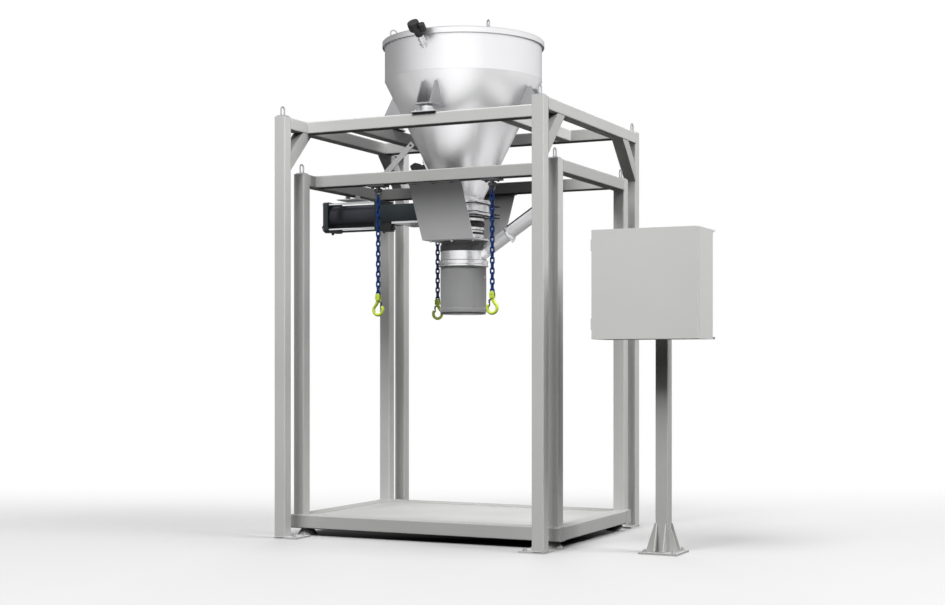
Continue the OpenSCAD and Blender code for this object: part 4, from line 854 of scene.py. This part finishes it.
# %% Fittings
def air_fitting():
    sleeve = spun([(0, 0), (9, 0), (9, 7), (8, 8), (0, 8)], 24, closed=False)
    release = spun([(4, 0), (6.4, 0), (6.4, 3), (4, 3)], 24)
    return joined(hex_bolt(12.6, 7), shifted(sleeve, 0, 0, 6.5), shifted(release, 0, 0, 14))


fittings = joined(
    placed(spun([(0, 0), (5, 0), (8, 1.5), (8, 12.5), (0, 12.5)], 24, closed=False), along_x(-1052)),
    placed(ring(15, 9, 0, 40, 12), at(-1059.5, -51.5, 2091.3) @ turned(90, "X")),
    placed(round_bar(7, 6, 16), along_x(-1046, -51.5, 2091.3)),
)
for x in (-612, -1021):
    fittings = joined(fittings, placed(air_fitting(), at(x, 0, 2057.5) @ turned(180, "X")))
fitting_piece = finish_piece("cylinder_air_fittings", fittings, "machine", black_plastic,
                             ["air_fittings"], 35)

# %% Pilot valve
valve = dressed_copy("pilot_valve", 1.6, 2)
for y in (-140, -100):
    valve = joined(valve, placed(round_bar(3, 3, 12), at(-495, y, 2040) @ turned(180, "X")))
coil = placed(soften(spun([(6, 0), (19, 0), (19, 5), (6, 5)], 32), 0.8), along_x(0, 0, 0))
valve = joined(valve, shifted(coil, -479, -120, 2061))
valve_piece = finish_piece("pilot_valve_block", valve, "machine", black_plastic,
                           ["pilot_valve"], 35)
print(fitting_piece.name, valve_piece.name)

# %% [markdown]
# ## The rubber sleeve
# The hopper must hang free on its cells, so a rubber sleeve joins the gate to the spout without
# carrying load. It is a thin spun tube with one fold at its middle and a lip at each end. Two
# band clamps press it onto the pipes. Each band is a thin spun ring with an ear and a screw.

# %% Sleeve and bands
sleeve_outline = [(134.4, 2030), (140.2, 2030), (141, 2031.5), (139.6, 2034), (138.9, 2036),
                  (138.9, 2050), (139.3, 2054), (139.6, 2062), (141.2, 2068), (143.4, 2073),
                  (143.9, 2077), (143.4, 2081), (141.2, 2086), (139.6, 2092), (138.9, 2094),
                  (138.9, 2112), (139.6, 2118), (141, 2121), (140.2, 2124), (134.4, 2124)]
sleeve = finish_piece("rubber_sleeve", spun(sleeve_outline, 96), "machine", black_rubber,
                      ["flex_sleeve"], 50)


# %% Band clamps
def band(radius, height):
    """A band clamp: a ring with rolled edges, two ears and a screw, its ears on one side."""
    inner, outer = radius + 0.3, radius + 3.0
    roll = outer - 0.6
    strap = soften(spun([(inner, 0), (outer, 0), (outer, height), (inner, height)], 96), 0.9)
    rolls = joined(ring(roll, 2.4, 1.4, 96, 8), ring(roll, 2.4, height - 1.4, 96, 8))
    ears = joined(*[soften(block(4.5, 17, height, (x, -radius - 10, height / 2)), 1.2)
                    for x in (-5.4, 5.4)])
    screw = joined(round_bar(3.5, 34, 16), shifted(hex_bolt(6.5, 5), 0, 0, 29),
                   shifted(hex_bolt(6.5, 4), 0, 0, 3))
    screw = placed(screw, at(-17, -radius - 11, height / 2) @ turned(90, "Y"))
    return joined(strap, rolls, ears, screw)


vent_line = at(153, 0, 1881.1) @ turned(57, "Y")
wing = joined(round_bar(4, 24, 12), shifted(soften(block(22, 4, 12, (0, 0, 0)), 1), 0, 0, 26),
              soften(block(12, 14, 10, (0, 0, -2)), 1.5))
ferrule = soften(spun([(42.3, 0), (46, 0), (55, 7), (56, 10), (56, 18), (55, 21), (46, 28),
                       (42.3, 28)], 64), 0.8)
vent_band = joined(ferrule, placed(wing, turned(45, "Z") @ at(4, -64, 14) @ turned(90, "Y")))
bands = joined(shifted(band(139.4, 18), 0, 0, 2093), shifted(band(139.4, 18), 0, 0, 2033),
               placed(shifted(vent_band, 0, 0, 210), vent_line))
band_piece = finish_piece("band_clamps_rolled", bands, "machine", turned_steel,
                          ["band_clamps"], 35)
print(sleeve.name, band_piece.name, len(band_piece.data.polygons), "faces")

# %% [markdown]
# ## The spout and the dust box
# Below the cradle the product falls through a plain pipe, while air leaves through a ring-shaped
# box round it and a slanted dust pipe. The box has a rolled rim above and below. The pipe
# is spun upright and tilted to its rise of 33 degrees; a bead of weld hides where they meet.
# Black gaskets sit in the joints from the hopper's flange down, and their black is partly
# painted shade: it draws the dark lines that shadow makes in those joints. A sheath whose
# near-white tone is a painted reflection and a thin dark tube for rinsing air run along the
# dust pipe.

# %% Gaskets and painted shade lines
def square_frame(half, width, height, z):
    """Four bars that make a square frame, flush with the gate's flanges."""
    bars = [block(2 * half, width, height, (0, side * (half - width / 2), z)) for side in (-1, 1)]
    bars += [block(width, 2 * half, height, (side * (half - width / 2), 0, z)) for side in (-1, 1)]
    return joined(*bars)


# Partly painted shade: the black frames and rings in the joints draw the dark lines there.
gaskets_and_shade_lines = joined(
    square_frame(187, 14, 6, 2202.5),
    square_frame(187, 14, 4, 2146.4),
    square_frame(185, 20, 5, 2125.3),
    spun([(133.5, 2003.4), (138, 2003.4), (139, 2008), (138, 2018), (133.5, 2018)], 96),
    spun([(170, 2219.4), (179.4, 2219.4), (179.4, 2222.6), (170, 2222.6)], 96),
)
gasket_and_shade_piece = finish_piece("joint_gaskets_and_shade_lines", gaskets_and_shade_lines, "machine", black_rubber)
print(gasket_and_shade_piece.name, len(gasket_and_shade_piece.data.polygons), "faces")

# %% Spout pipe
spout_shape = joined(
    soften(spun([(130, 1472.3), (134, 1472.3), (134, 2064), (130, 2064)], 96), 0.6),
    soften(spun([(133.5, 1964), (172, 1964), (172, 1972), (133.5, 1972)], 96), 1.0),
    soften(spun([(133.5, 1977), (140, 1977), (140, 2003), (133.5, 2003)], 96), 1.0),
    ring(134.6, 5, 1972.4, 96, 8),
)
spout = finish_piece("spout_inner_pipe", spout_shape, "machine", turned_steel,
                     ["spout_pipe"], 32)
print(spout.name, len(spout.data.polygons), "faces")

# %% Dust box
plenum_shape = dressed_copy("dust_plenum", 0.0)
rolled_rims = joined(ring(152.6, 4.4, 1832.6, 128, 10), ring(152.6, 4.4, 1890.6, 128, 10))
pipe_seams = placed(joined(ring(42, 3, 20, 64, 8), ring(40.4, 4.0, 585, 64, 10)), vent_line)
plenum = finish_piece("dust_box_and_pipe", joined(plenum_shape, rolled_rims, pipe_seams), "machine",
                      turned_steel, ["dust_plenum"], 32)
# Painted reflection: a thin near-white skin over the dust pipe.
sheath = placed(spun([(42.0, 30), (42.35, 30), (42.35, 490), (42.0, 490)], 64), vent_line)
sheath_piece = finish_piece("dust_pipe_sheath", sheath, "machine", sheath_painted_reflection)
air_tube = placed(shifted(round_bar(5, 372, 16), -49.4, 0, 216), vent_line)
tube_piece = finish_piece("dust_pipe_air_tube", air_tube, "machine", forged_steel)
print(plenum.name, len(plenum.data.polygons), "faces,", sheath_piece.name, tube_piece.name)

# %% [markdown]
# ## The neck, the clamp ring and the seal
# A dark coated neck with a cuff at its foot joins the cradle's floor to the dust box, and the
# cuff covers the end of the pipe's saddle. Under the box a heavy bright ring clamps the seal,
# a sleeve of coated cloth. The cloth is spun with the soft swells that a sewn tube shows, and
# its hem is a doubled band. Air that blows up the seal comes in through a fitting on its right.

# %% Neck
neck_shape = joined(
    spun([(134.4, 1893.4), (156.6, 1893.4), (156.6, 1931), (155, 1933.5), (150.6, 1935), (150, 1937),
          (150, 1950), (151.6, 1953), (156, 1956.4), (156, 1957.8), (134.4, 1957.8)], 96),
    spun([(134.4, 1470), (148, 1470), (150, 1472), (150, 1477), (149, 1479), (134.4, 1479)], 96),
)
neck = finish_piece("spout_coated_neck", neck_shape, "machine", neck_coat,
                    ["spout_neck"], 40)
print(neck.name, len(neck.data.polygons), "faces")

# %% Clamp ring
clamp_outline = [(154.6, 1789), (165, 1789), (167.6, 1790.6), (168, 1794), (167.6, 1800),
                 (165.2, 1803), (163.8, 1806), (163.8, 1808), (165.2, 1811), (167.6, 1814),
                 (168, 1820), (167.6, 1827.4), (165, 1829.6), (154.6, 1829.6)]
ears = joined(*[soften(block(11, 22, 38, (x, 168, 1809.4)), 1.4) for x in (-7.5, 7.5)])
clamp_screw = joined(round_bar(4.5, 44, 16), shifted(hex_bolt(8, 6), 0, 0, 38), hex_bolt(8, 6))
clamp_screw = placed(clamp_screw, at(-22, 172, 1809.4) @ turned(90, "Y"))
clamp = finish_piece("seal_clamp_ring", joined(spun(clamp_outline, 128), ears, clamp_screw), "machine",
                     turned_steel, ["spout_clamp"], 40)
print(clamp.name, len(clamp.data.polygons), "faces")

# %% Seal
swell_from, swell_to, swell_depth = 1.515, 1.782, 0.0005
seal_outline = [(135, 1479.6), (152.6, 1479.6), (154.6, 1481), (155.2, 1484), (155.4, 1492),
                (155.4, 1504), (155.2, 1508), (154.0, 1510), (153.9, 1514), (154.2, 1540),
                (154.6, 1580), (154.9, 1630), (154.8, 1680), (154.6, 1730), (154.6, 1770),
                (154.2, 1788), (153.8, 1794), (153.8, 1829.4), (135, 1829.4)]
seal_shape = spun(seal_outline, 180)
for point in seal_shape.verts:
    reach = math.hypot(point.co.x, point.co.y)
    if reach > 0.150 and swell_from < point.co.z < swell_to:
        turn = math.atan2(point.co.y, point.co.x)
        fade = min(1, (point.co.z - swell_from) / 0.08, (swell_to - point.co.z) / 0.05)
        swell = math.sin(turn * 5 + 0.7) + 0.6 * math.sin(turn * 9 + 2.1 + point.co.z * 6)
        swell = swell * swell_depth * fade
        point.co.x *= 1 + swell / reach
        point.co.y *= 1 + swell / reach
print("seal spun to", len(seal_shape.faces), "faces")

# %% Seal's stitches and fitting
stitches = joined(ring(155.3, 0.9, 1487, 160, 6), ring(155.3, 0.9, 1505, 160, 6))
seam = soften(block(3, 22, 262, (154.6, 0, 1646)), 1.0)
seam = placed(seam, turned(-38, "Z"))
seal = finish_piece("seal_cloth_sleeve", joined(seal_shape, seam, stitches), "machine", seal_cloth,
                    ["neck_seal"], 50)
fitting = joined(round_bar(12, 3, 32), shifted(hex_bolt(9, 7), 0, 0, 3),
                 shifted(round_bar(4.5, 12, 24), 0, 0, 9))
fitting_piece = finish_piece("seal_air_fitting", placed(fitting, along_x(150.5, 0, 1715)), "machine",
                             plated_steel, (), 35)
print(seal.name, len(seal.data.polygons), "faces,", fitting_piece.name)

# %% [markdown]
# ## Bolts
# Every flange is held by zinc-plated hexagon bolts, and every hanger by dark ones. A bolt head
# with a washer is set in each place, because the real ones are all alike too. Each head is
# turned a little differently, as a spanner leaves it.

# %% Fixing bolts
bolts = bmesh.new()
dark_bolts = bmesh.new()
down = turned(180, "X")
dark_places = [(x, y, 2310) for y in (-450, 450) for x in (-133, 0, 133)]
dark_places += [(x + side, y, 2304) for x in (-415, 415) for y in (-434, 434) for side in (-42, 42)]
bolt_places = [(x, y, 1957.9, True) for y in (-178, 178) for x in (-155, 0, 155)]
for turn in range(0, 360, 45):
    bolt_places.append((*on_turn(158.8, turn + 22.5, 1972), False))
    bolt_places.append((*on_turn(164.8, turn + 22.5, 2230), False))
for index, (x, y, z, hanging) in enumerate(bolt_places):
    twist = turned(index * 23 % 60, "Z")
    stand = at(x, y, z) @ (down if hanging else Matrix()) @ twist
    bolts = joined(bolts, placed(bolt_with_washer(10, 6, 1.3), stand))
for index, (x, y, z) in enumerate(dark_places):
    twist = turned(index * 31 % 60, "Z")
    stand = at(x, y, z) @ down @ twist
    dark_bolts = joined(dark_bolts, placed(bolt_with_washer(10, 6, 1.3), stand))
bolt_piece = finish_piece("zinc_plated_bolts", bolts, "machine", plated_steel,
                          ["fixing_bolts"], 32)
dark_bolt_piece = finish_piece("dark_hanger_bolts", dark_bolts, "machine", forged_steel,
                               (), 32)
print(bolt_piece.name, len(bolt_places), "bolts,", dark_bolt_piece.name, len(dark_places), "bolts")

# %% [markdown]
# ## Chain links
# A link is a round bar bent to an oval and welded, so it is made as the lifting eyes are. Each
# link is turned a quarter against the one before, as it must be to hang in it. Links repeat many
# times, so one link has only about a hundred faces.

# %% Link
def chain_link(width=34.6, pitch=33.7, wire=11.4, slack=1.4):
    bend = (width - wire) / 2
    return oval_ring(bend, pitch + wire - 2 * bend - slack, wire)


sample = chain_link()
open_edges = sum(edge.is_boundary for edge in sample.edges)
print("one link:", len(sample.faces), "faces, open edges", open_edges)
sample.free()

# %% [markdown]
# ## Shackles, chains, hooks and latches
# At each corner a shackle hangs from a lug, and the chain from the shackle. The chain ends
# in a lifting hook with a sprung latch. A shackle is a bent bar with two ears and a pin. All
# four corners have the same pieces, so one loop builds them, each on the body that it moves
# with. The forged hooks and pressed latches have the right form in the drawing's solids, so
# bevelled copies of those are used.

# %% Shackle
pin_height = 2282


def shackle_shape():
    bow = bmesh.new()
    bmesh.ops.create_circle(bow, segments=16, radius=6 * MM, matrix=at(17, 0, 2271))
    edges = extruded(bow, bow.edges[:], (0, 0, -14))
    edges = bent(bow, edges, (0, 0, 2257), (0, 1, 0), 180, 20)
    edges = extruded(bow, edges, (0, 0, 14))
    bmesh.ops.holes_fill(bow, edges=bow.edges[:], sides=0)
    bmesh.ops.recalc_face_normals(bow, faces=bow.faces[:])
    for start in (-24.0, 8.3):
        ear = soften(spun([(0, 0), (12, 0), (12, 15.7), (0, 15.7)], 32, closed=False), 1.2)
        bow = joined(bow, placed(ear, along_x(start, 0, pin_height)))
    pin = spun([(0, 0), (6, 0), (7, 1), (7, 54), (0, 54)], 24, closed=False)
    pin = placed(pin, along_x(-28, 0, pin_height))
    head = placed(hex_bolt(10.5, 5), along_x(23.8, 0, pin_height))
    return joined(bow, pin, head)


# %% Chain
link_count, link_step, top_link = 20, 33.4, 2229.45
quarter = turned(90, "Z")


def chain_shape():
    chain = bmesh.new()
    for index in range(link_count):
        facing = quarter if index % 2 == 0 else Matrix()
        link = placed(chain_link(), at(0, 0, top_link - index * link_step) @ facing)
        chain = joined(chain, link)
    return chain


# %% Hang the corners
hanger_x, hanger_y = 415, 434
for corner, (x_side, y_side) in corners.items():
    stand = at(hanger_x * x_side, hanger_y * y_side, 0)
    finish_piece("shackle_bow_" + corner, placed(shackle_shape(), stand), "shackle_" + corner,
                 forged_steel, ["shackle_" + corner], 32)
    finish_piece("chain_links_" + corner, placed(chain_shape(), stand), "chain_" + corner, chain_paint,
                 ["chain_" + corner], 60)
    finish_piece("hook_forged_" + corner, dressed_copy("hook_" + corner, 0.9, 2, 45), "chain_" + corner,
                 hook_paint, ["hook_" + corner], 32)
    finish_piece("latch_pressed_" + corner, dressed_copy("latch_" + corner, 0.4, 1, 45),
                 "latch_" + corner, forged_steel, ["latch_" + corner], 32)
print("corners:", len(corners))

# %% [markdown]
# ## Plates and small forms with softened edges
# The solids of the cradle, the hangers, the feet, the bonnet, the blade and the cabinet have
# the right shape, but their edges are perfectly sharp, and no real edge is. Copies with fine
# bevels take their places, so that each edge draws the thin bright line that the eye expects.

# %% Softened copies
softened = [
    ("cradle", "cradle_folded_plate", "machine", cradle_steel, "dark_metal", 1.6),
    ("chain_hangers", "chain_hanger_plates", "machine", forged_steel, "dark_metal", 1.0),
    ("base_feet", "base_feet_pressed", "machine", frame_paint, "frame_paint", 2.0),
    ("gate_bonnet", "gate_bonnet_box", "machine", slate_paint, "slate_paint", 1.6),
    ("gate_blade", "gate_blade_ground", "blade", turned_steel, "bright_rod", 0.8),
    ("knee_braces", "knee_brace_tubes", "machine", inner_paint, "frame_paint", 1.0),
    ("hopper_brackets", "hopper_bracket_plates", "machine", bracket_steel, "hopper_steel", 1.0),
    ("cabinet_shell", "cabinet_folded_shell", "machine", cabinet_paint, "cabinet_paint", 0.7),
    ("cabinet_door", "cabinet_folded_door", "door", cabinet_paint, "cabinet_paint", 0.9),
    ("mounting_plate", "cabinet_mounting_plate", "machine", plated_steel, "machined_steel", 0.8),
    ("control_gear", "cabinet_control_gear", "machine", gear_plastic, "gear_plastic", 1.5),
    ("deck_plate", "deck_steel_plate", "machine", deck_paint, "frame_paint", 1.0),
]
for node, name, body, material, slot, width in softened:
    piece = finish_piece(name, dressed_copy(node, width), body, material, [node], 32)
    print(name, len(piece.data.polygons), "faces")

# %% [markdown]
# ## The stay, the tube caps and the cylinder's hanger
# A flat bar stays the hopper's cone from the inner frame, with a black bolt at its upper end.
# Thin caps close the open ends of the base's tubes. A plate on two straps hangs under the
# left beam and steadies the gate's cylinder.

# %% Stay
stay_foot, stay_bolt = Vector((-362, -434, 2386)), Vector((-172, -434, 2563))
stay_length = (stay_bolt - stay_foot).length + 20
stay_lean = math.atan2(stay_bolt.z - stay_foot.z, stay_bolt.x - stay_foot.x)
stay_shape = placed(soften(block(stay_length, 8, 38, (stay_length / 2, 0, 0)), 1.2),
                    Matrix.Translation(stay_foot * MM) @ Matrix.Rotation(-stay_lean, 4, "Y"))
stay_piece = finish_piece("stay_flat_bar", stay_shape, "machine", bracket_steel,
                          ["stay_bracket"])
stay_head = placed(round_bar(8, 10, 24), Matrix.Translation((stay_bolt + Vector((0, 5, 0))) * MM)
                   @ turned(90, "X"))
stay_bolt_piece = finish_piece("stay_black_bolt", stay_head, "machine", black_plastic,
                               (), 35)
print(stay_piece.name, stay_bolt_piece.name)

# %% Tube caps and hanger plate
tube_caps = joined(*[soften(block(4, 88, 88, (x, y, 93)), 1.4)
                     for x in (-963, 963) for y in (-595, 595)])
cap_piece = finish_piece("base_tube_caps", tube_caps, "machine", inner_paint)
hanger = joined(soften(block(176, 150, 8, (-900, 70, 2288)), 1.2),
                *[soften(block(8, 60, 30, (x, 70, 2303)), 1.0) for x in (-940, -860)])
hanger_piece = finish_piece("cylinder_hanger_plate", hanger, "machine", plated_steel)
print(cap_piece.name, hanger_piece.name)

# %% [markdown]
# ## Weld beads on the frame
# The tubes are cut square and welded. A welded corner shows a thin rounded fillet. Each bead
# is a slim round bar laid along the joint, half sunk in the paint, which covers it too. The
# beads stop short of the tube's rounded corners.

# %% Weld helpers
bead_radius, half_tube = 2.6, 40
plate_top, rail_top = 12, 138
bead_end, bead_foot = 7, 73


def beam_beads(x, y, side, top):
    """Beads where a side beam meets a post: one across the top and one down each face."""
    face = y - side * half_tube
    beads = [((x - 34, face, top), (x + 34, face, top))]
    for edge in (x - half_tube, x + half_tube):
        beads.append(((edge, face, top - bead_foot), (edge, face, top - bead_end)))
    return beads


def foot_beads(x, y, height):
    """Four beads round a post's foot."""
    beads = []
    for side in (-half_tube, half_tube):
        beads.append(((x + side, y - 33, height), (x + side, y + 33, height)))
        beads.append(((x - 33, y + side, height), (x + 33, y + side, height)))
    return beads


# %% Frame welds
lines = []
cross_rows = ((-540, outer_top), (540, outer_top), (-hanger_y, inner_top), (hanger_y, inner_top))
for side_x in (-1, 1):
    for side_y in (-1, 1):
        for y, top, foot in ((outer_post_y, outer_top, plate_top), (inner_post_y, inner_top, rail_top)):
            lines += beam_beads(side_x * post_x, side_y * y, side_y, top)
            lines += foot_beads(side_x * post_x, side_y * y, foot)
    face_x = side_x * (post_x - half_tube)
    for y, top in cross_rows:
        lines.append(((face_x, y - 34, top), (face_x, y + 34, top)))
        for edge in (y - half_tube, y + half_tube):
            lines.append(((face_x, edge, top - bead_foot), (face_x, edge, top - bead_end)))
frame_welds = joined(*[bar_between(start, end, bead_radius, 10) for start, end in lines])
weld_piece = finish_piece("frame_weld_beads", frame_welds, "machine", frame_paint)
print(weld_piece.name, len(lines), "beads")

# %% [markdown]
# ## Floor anchors
# Each floor plate is held by two anchor studs with a nut and a washer. A spun stud passes
# through the plate's hole, and the nut sits on the washer.

# %% Anchors
anchors = bmesh.new()
anchor_places = [(x, y) for x in (-815, 815) for y in (-831, -711, 831, 711)]
anchor_places += [(1575 + x, -490 + y) for x in (-90, 90) for y in (-90, 90)]
for index, (x, y) in enumerate(anchor_places):
    stud = joined(round_bar(15, 2.5, 32), shifted(hex_bolt(11, 9), 0, 0, 2.4),
                  spun([(0, 0), (6, 0), (6, 16), (5, 18), (0, 18)], 16, closed=False))
    stand = at(x, y, plate_top) @ turned(index * 17 % 60, "Z")
    anchors = joined(anchors, placed(stud, stand))
anchor_piece = finish_piece("floor_anchor_nuts", anchors, "machine", plated_steel,
                            (), 32)
print(anchor_piece.name, len(anchor_places), "studs")

# %% [markdown]
# ## The floor
# The machine stands in a white studio. The floor takes soft shadows near the machine and fades
# to white with distance on every side, and soonest behind, where a studio's floor curves up
# into the wall. White light from the floor would reach the machine from below, so only the
# camera sees the white: other rays meet a dim floor, and glossy ones pass through to the panels.

# %% Floor
floor_mesh = bmesh.new()
bmesh.ops.create_grid(floor_mesh, x_segments=1, y_segments=1, size=60)
floor_data = bpy.data.meshes.new("studio_floor")
floor_mesh.to_mesh(floor_data)
floor_mesh.free()
floor = bpy.data.objects.new("studio_floor", floor_data)
bpy.context.scene.collection.objects.link(floor)
print(floor.name, "is", round(floor.dimensions.x), "m wide")

# %% Floor's nodes
floor_material = bpy.data.materials.new("studio_floor_white")
floor_tree = empty_tree(floor_material)
floor_output = add_node(floor_tree, "OutputMaterial")
floor_matt = add_node(floor_tree, "BsdfDiffuse", None, {"Color": (0.365, 0.365, 0.365, 1)})
floor_white = add_node(floor_tree, "Emission", None, {"Color": (1, 1, 1, 1), "Strength": 1.0})
floor_dim = add_node(floor_tree, "BsdfDiffuse", None, {"Color": (0.03, 0.03, 0.03, 1)})
floor_mix = add_node(floor_tree, "MixShader")
floor_seen_mix = add_node(floor_tree, "MixShader")
floor_open = add_node(floor_tree, "BsdfTransparent")
floor_open_mix = add_node(floor_tree, "MixShader")
floor_place = add_node(floor_tree, "TexCoord")
floor_axis = add_node(floor_tree, "Mapping", None, {"Rotation": (0, 0, math.radians(-25.56))})
floor_split = add_node(floor_tree, "SeparateXYZ")
floor_fade = add_node(floor_tree, "MapRange", {"interpolation_type": "SMOOTHSTEP"},
                      {"From Min": -0.5, "From Max": 4.0, "To Min": 0.0, "To Max": 1.0})
floor_radius = add_node(floor_tree, "VectorMath", {"operation": "LENGTH"})
floor_edge = add_node(floor_tree, "MapRange", {"interpolation_type": "SMOOTHSTEP"},
                      {"From Min": 3.4, "From Max": 7.5, "To Min": 0.0, "To Max": 1.0})
floor_far = add_node(floor_tree, "Math", {"operation": "MAXIMUM"})
floor_paths = add_node(floor_tree, "LightPath")
floor_seen = add_node(floor_tree, "Math", {"operation": "MAXIMUM"})

# %% Floor's links
wire(floor_tree, (floor_place, "Object", floor_axis, "Vector"),
     (floor_axis, 0, floor_split, 0),
     (floor_split, "Y", floor_fade, "Value"),
     (floor_place, "Object", floor_radius, 0),
     (floor_radius, "Value", floor_edge, "Value"),
     (floor_fade, 0, floor_far, 0),
     (floor_edge, 0, floor_far, 1),
     (floor_far, 0, floor_mix, "Fac"),
     (floor_matt, 0, floor_mix, 1),
     (floor_white, 0, floor_mix, 2),
     (floor_paths, "Is Camera Ray", floor_seen, 0),
     (floor_paths, "Is Transmission Ray", floor_seen, 1),
     (floor_seen, 0, floor_seen_mix, "Fac"),
     (floor_dim, 0, floor_seen_mix, 1),
     (floor_mix, 0, floor_seen_mix, 2),
     (floor_paths, "Is Glossy Ray", floor_open_mix, "Fac"),
     (floor_seen_mix, 0, floor_open_mix, 1),
     (floor_open, 0, floor_open_mix, 2),
     (floor_open_mix, 0, floor_output, "Surface"))
floor_data.materials.append(floor_material)
print(floor.name, "with", len(floor_tree.nodes), "nodes")

# %% [markdown]
# ## The surroundings
# A sky that is bright overhead and dim at the horizon fills the shadows. Shiny metal sees its
# own set of panels instead, as in a studio's light tent: white in front, light grey round to
# the right, and dark grey on the left and behind. A picture of a studio could wrap round the
# scene for that, but a few tones on a ramp, laid out by bearing, do as well. The camera sees
# plain white.

# %% World
world = bpy.data.worlds.new("studio")
bpy.context.scene.world = world
world_tree = empty_tree(world)
world_output = add_node(world_tree, "OutputWorld")
world_fill = add_node(world_tree, "Background", None, {"Color": (1, 1, 1, 1)})
world_white = add_node(world_tree, "Background", None,
                       {"Color": (1, 1, 1, 1), "Strength": 1.0})
world_panels = add_node(world_tree, "Background", None, {"Strength": 1.2})
world_place = add_node(world_tree, "TexCoord")
world_axis = add_node(world_tree, "SeparateXYZ")
world_sky = add_node(world_tree, "MapRange", {"interpolation_type": "SMOOTHSTEP"},
                     {"From Min": 0.20, "From Max": 1.0, "To Min": 0.0, "To Max": 1.25})
world_turn = add_node(world_tree, "Mapping", None, {"Rotation": (0, 0, math.radians(-25.56))})
world_side = add_node(world_tree, "SeparateXYZ")
world_back = add_node(world_tree, "Math", {"operation": "MULTIPLY"})
world_back.inputs[1].default_value = -1.0
world_bearing = add_node(world_tree, "Math", {"operation": "ARCTAN2"})
world_shift = add_node(world_tree, "MapRange", None,
                       {"From Min": -math.pi, "From Max": math.pi, "To Min": 0.0, "To Max": 1.0})
world_ramp = add_node(world_tree, "ValToRGB")

# %% Panels
panel_tones = [(-180, 0.08), (-164, 0.12), (-146, 0.24), (-118, 0.24), (-98, 0.34), (-84, 0.52),
               (-66, 0.66), (-46, 0.80), (-30, 1.0), (16, 1.0), (34, 0.84), (80, 0.84), (112, 0.74),
               (144, 0.66), (164, 0.12), (180, 0.08)]
tones = world_ramp.color_ramp.elements
for bearing, tone in panel_tones[1:-1]:
    tones.new(bearing / 360 + 0.5)
for stop, (bearing, tone) in zip(tones, panel_tones):
    stop.color = (tone, tone, tone * 1.005, 1)
print(len(panel_tones), "panel tones")

# %% World's links
world_paths = add_node(world_tree, "LightPath")
world_gloss_mix = add_node(world_tree, "MixShader")
world_camera_mix = add_node(world_tree, "MixShader")
wire(world_tree, (world_place, "Generated", world_axis, 0),
     (world_axis, "Z", world_sky, "Value"),
     (world_sky, 0, world_fill, "Strength"),
     (world_place, "Generated", world_turn, "Vector"),
     (world_turn, 0, world_side, 0),
     (world_side, "Y", world_back, 0),
     (world_side, "X", world_bearing, 0),
     (world_back, 0, world_bearing, 1),
     (world_bearing, 0, world_shift, "Value"),
     (world_shift, 0, world_ramp, "Fac"),
     (world_ramp, "Color", world_panels, "Color"),
     (world_paths, "Is Glossy Ray", world_gloss_mix, "Fac"),
     (world_fill, 0, world_gloss_mix, 1),
     (world_panels, 0, world_gloss_mix, 2),
     (world_paths, "Is Camera Ray", world_camera_mix, "Fac"),
     (world_gloss_mix, 0, world_camera_mix, 1),
     (world_white, 0, world_camera_mix, 2),
     (world_camera_mix, 0, world_output, "Surface"))
bpy.context.scene.view_settings.view_transform = "Standard"
print(world.name, "with", len(world_tree.nodes), "nodes")

# %% [markdown]
# ## The lamps
# Most light comes from above: two broad lamps, one in front and one on the right, light the two
# sides that face the camera, and a weak one behind fills the back. A lamp's size sets how soft
# its shadows are, so all three are wide. Shiny metal doesn't see them, because it has the
# panels.

# %% Lamps
def soft_lamp(name, place, target, size, power):
    data = bpy.data.lights.new(name, "AREA")
    data.shape = "RECTANGLE"
    data.size, data.size_y = size
    data.energy = power
    lamp = bpy.data.objects.new(name, data)
    bpy.context.scene.collection.objects.link(lamp)
    lamp.location = place
    lamp.visible_glossy = False
    lamp.rotation_euler = (Vector(target) - Vector(place)).to_track_quat("-Z", "Y").to_euler()
    return lamp


lamp_size, lit_point = (6.0, 7.0), (0, 0, 1.6)
front_lamp = soft_lamp("front_lamp", (0.0, -10.0, 15.0), lit_point, lamp_size, 3200)
right_lamp = soft_lamp("right_lamp", (11.0, 0.0, 13.0), lit_point, lamp_size, 2500)
back_lamp = soft_lamp("back_lamp", (-6.0, 11.0, 10.0), lit_point, lamp_size, 800)
for lamp in (front_lamp, right_lamp, back_lamp):
    print(lamp.name, lamp.data.energy, "W")
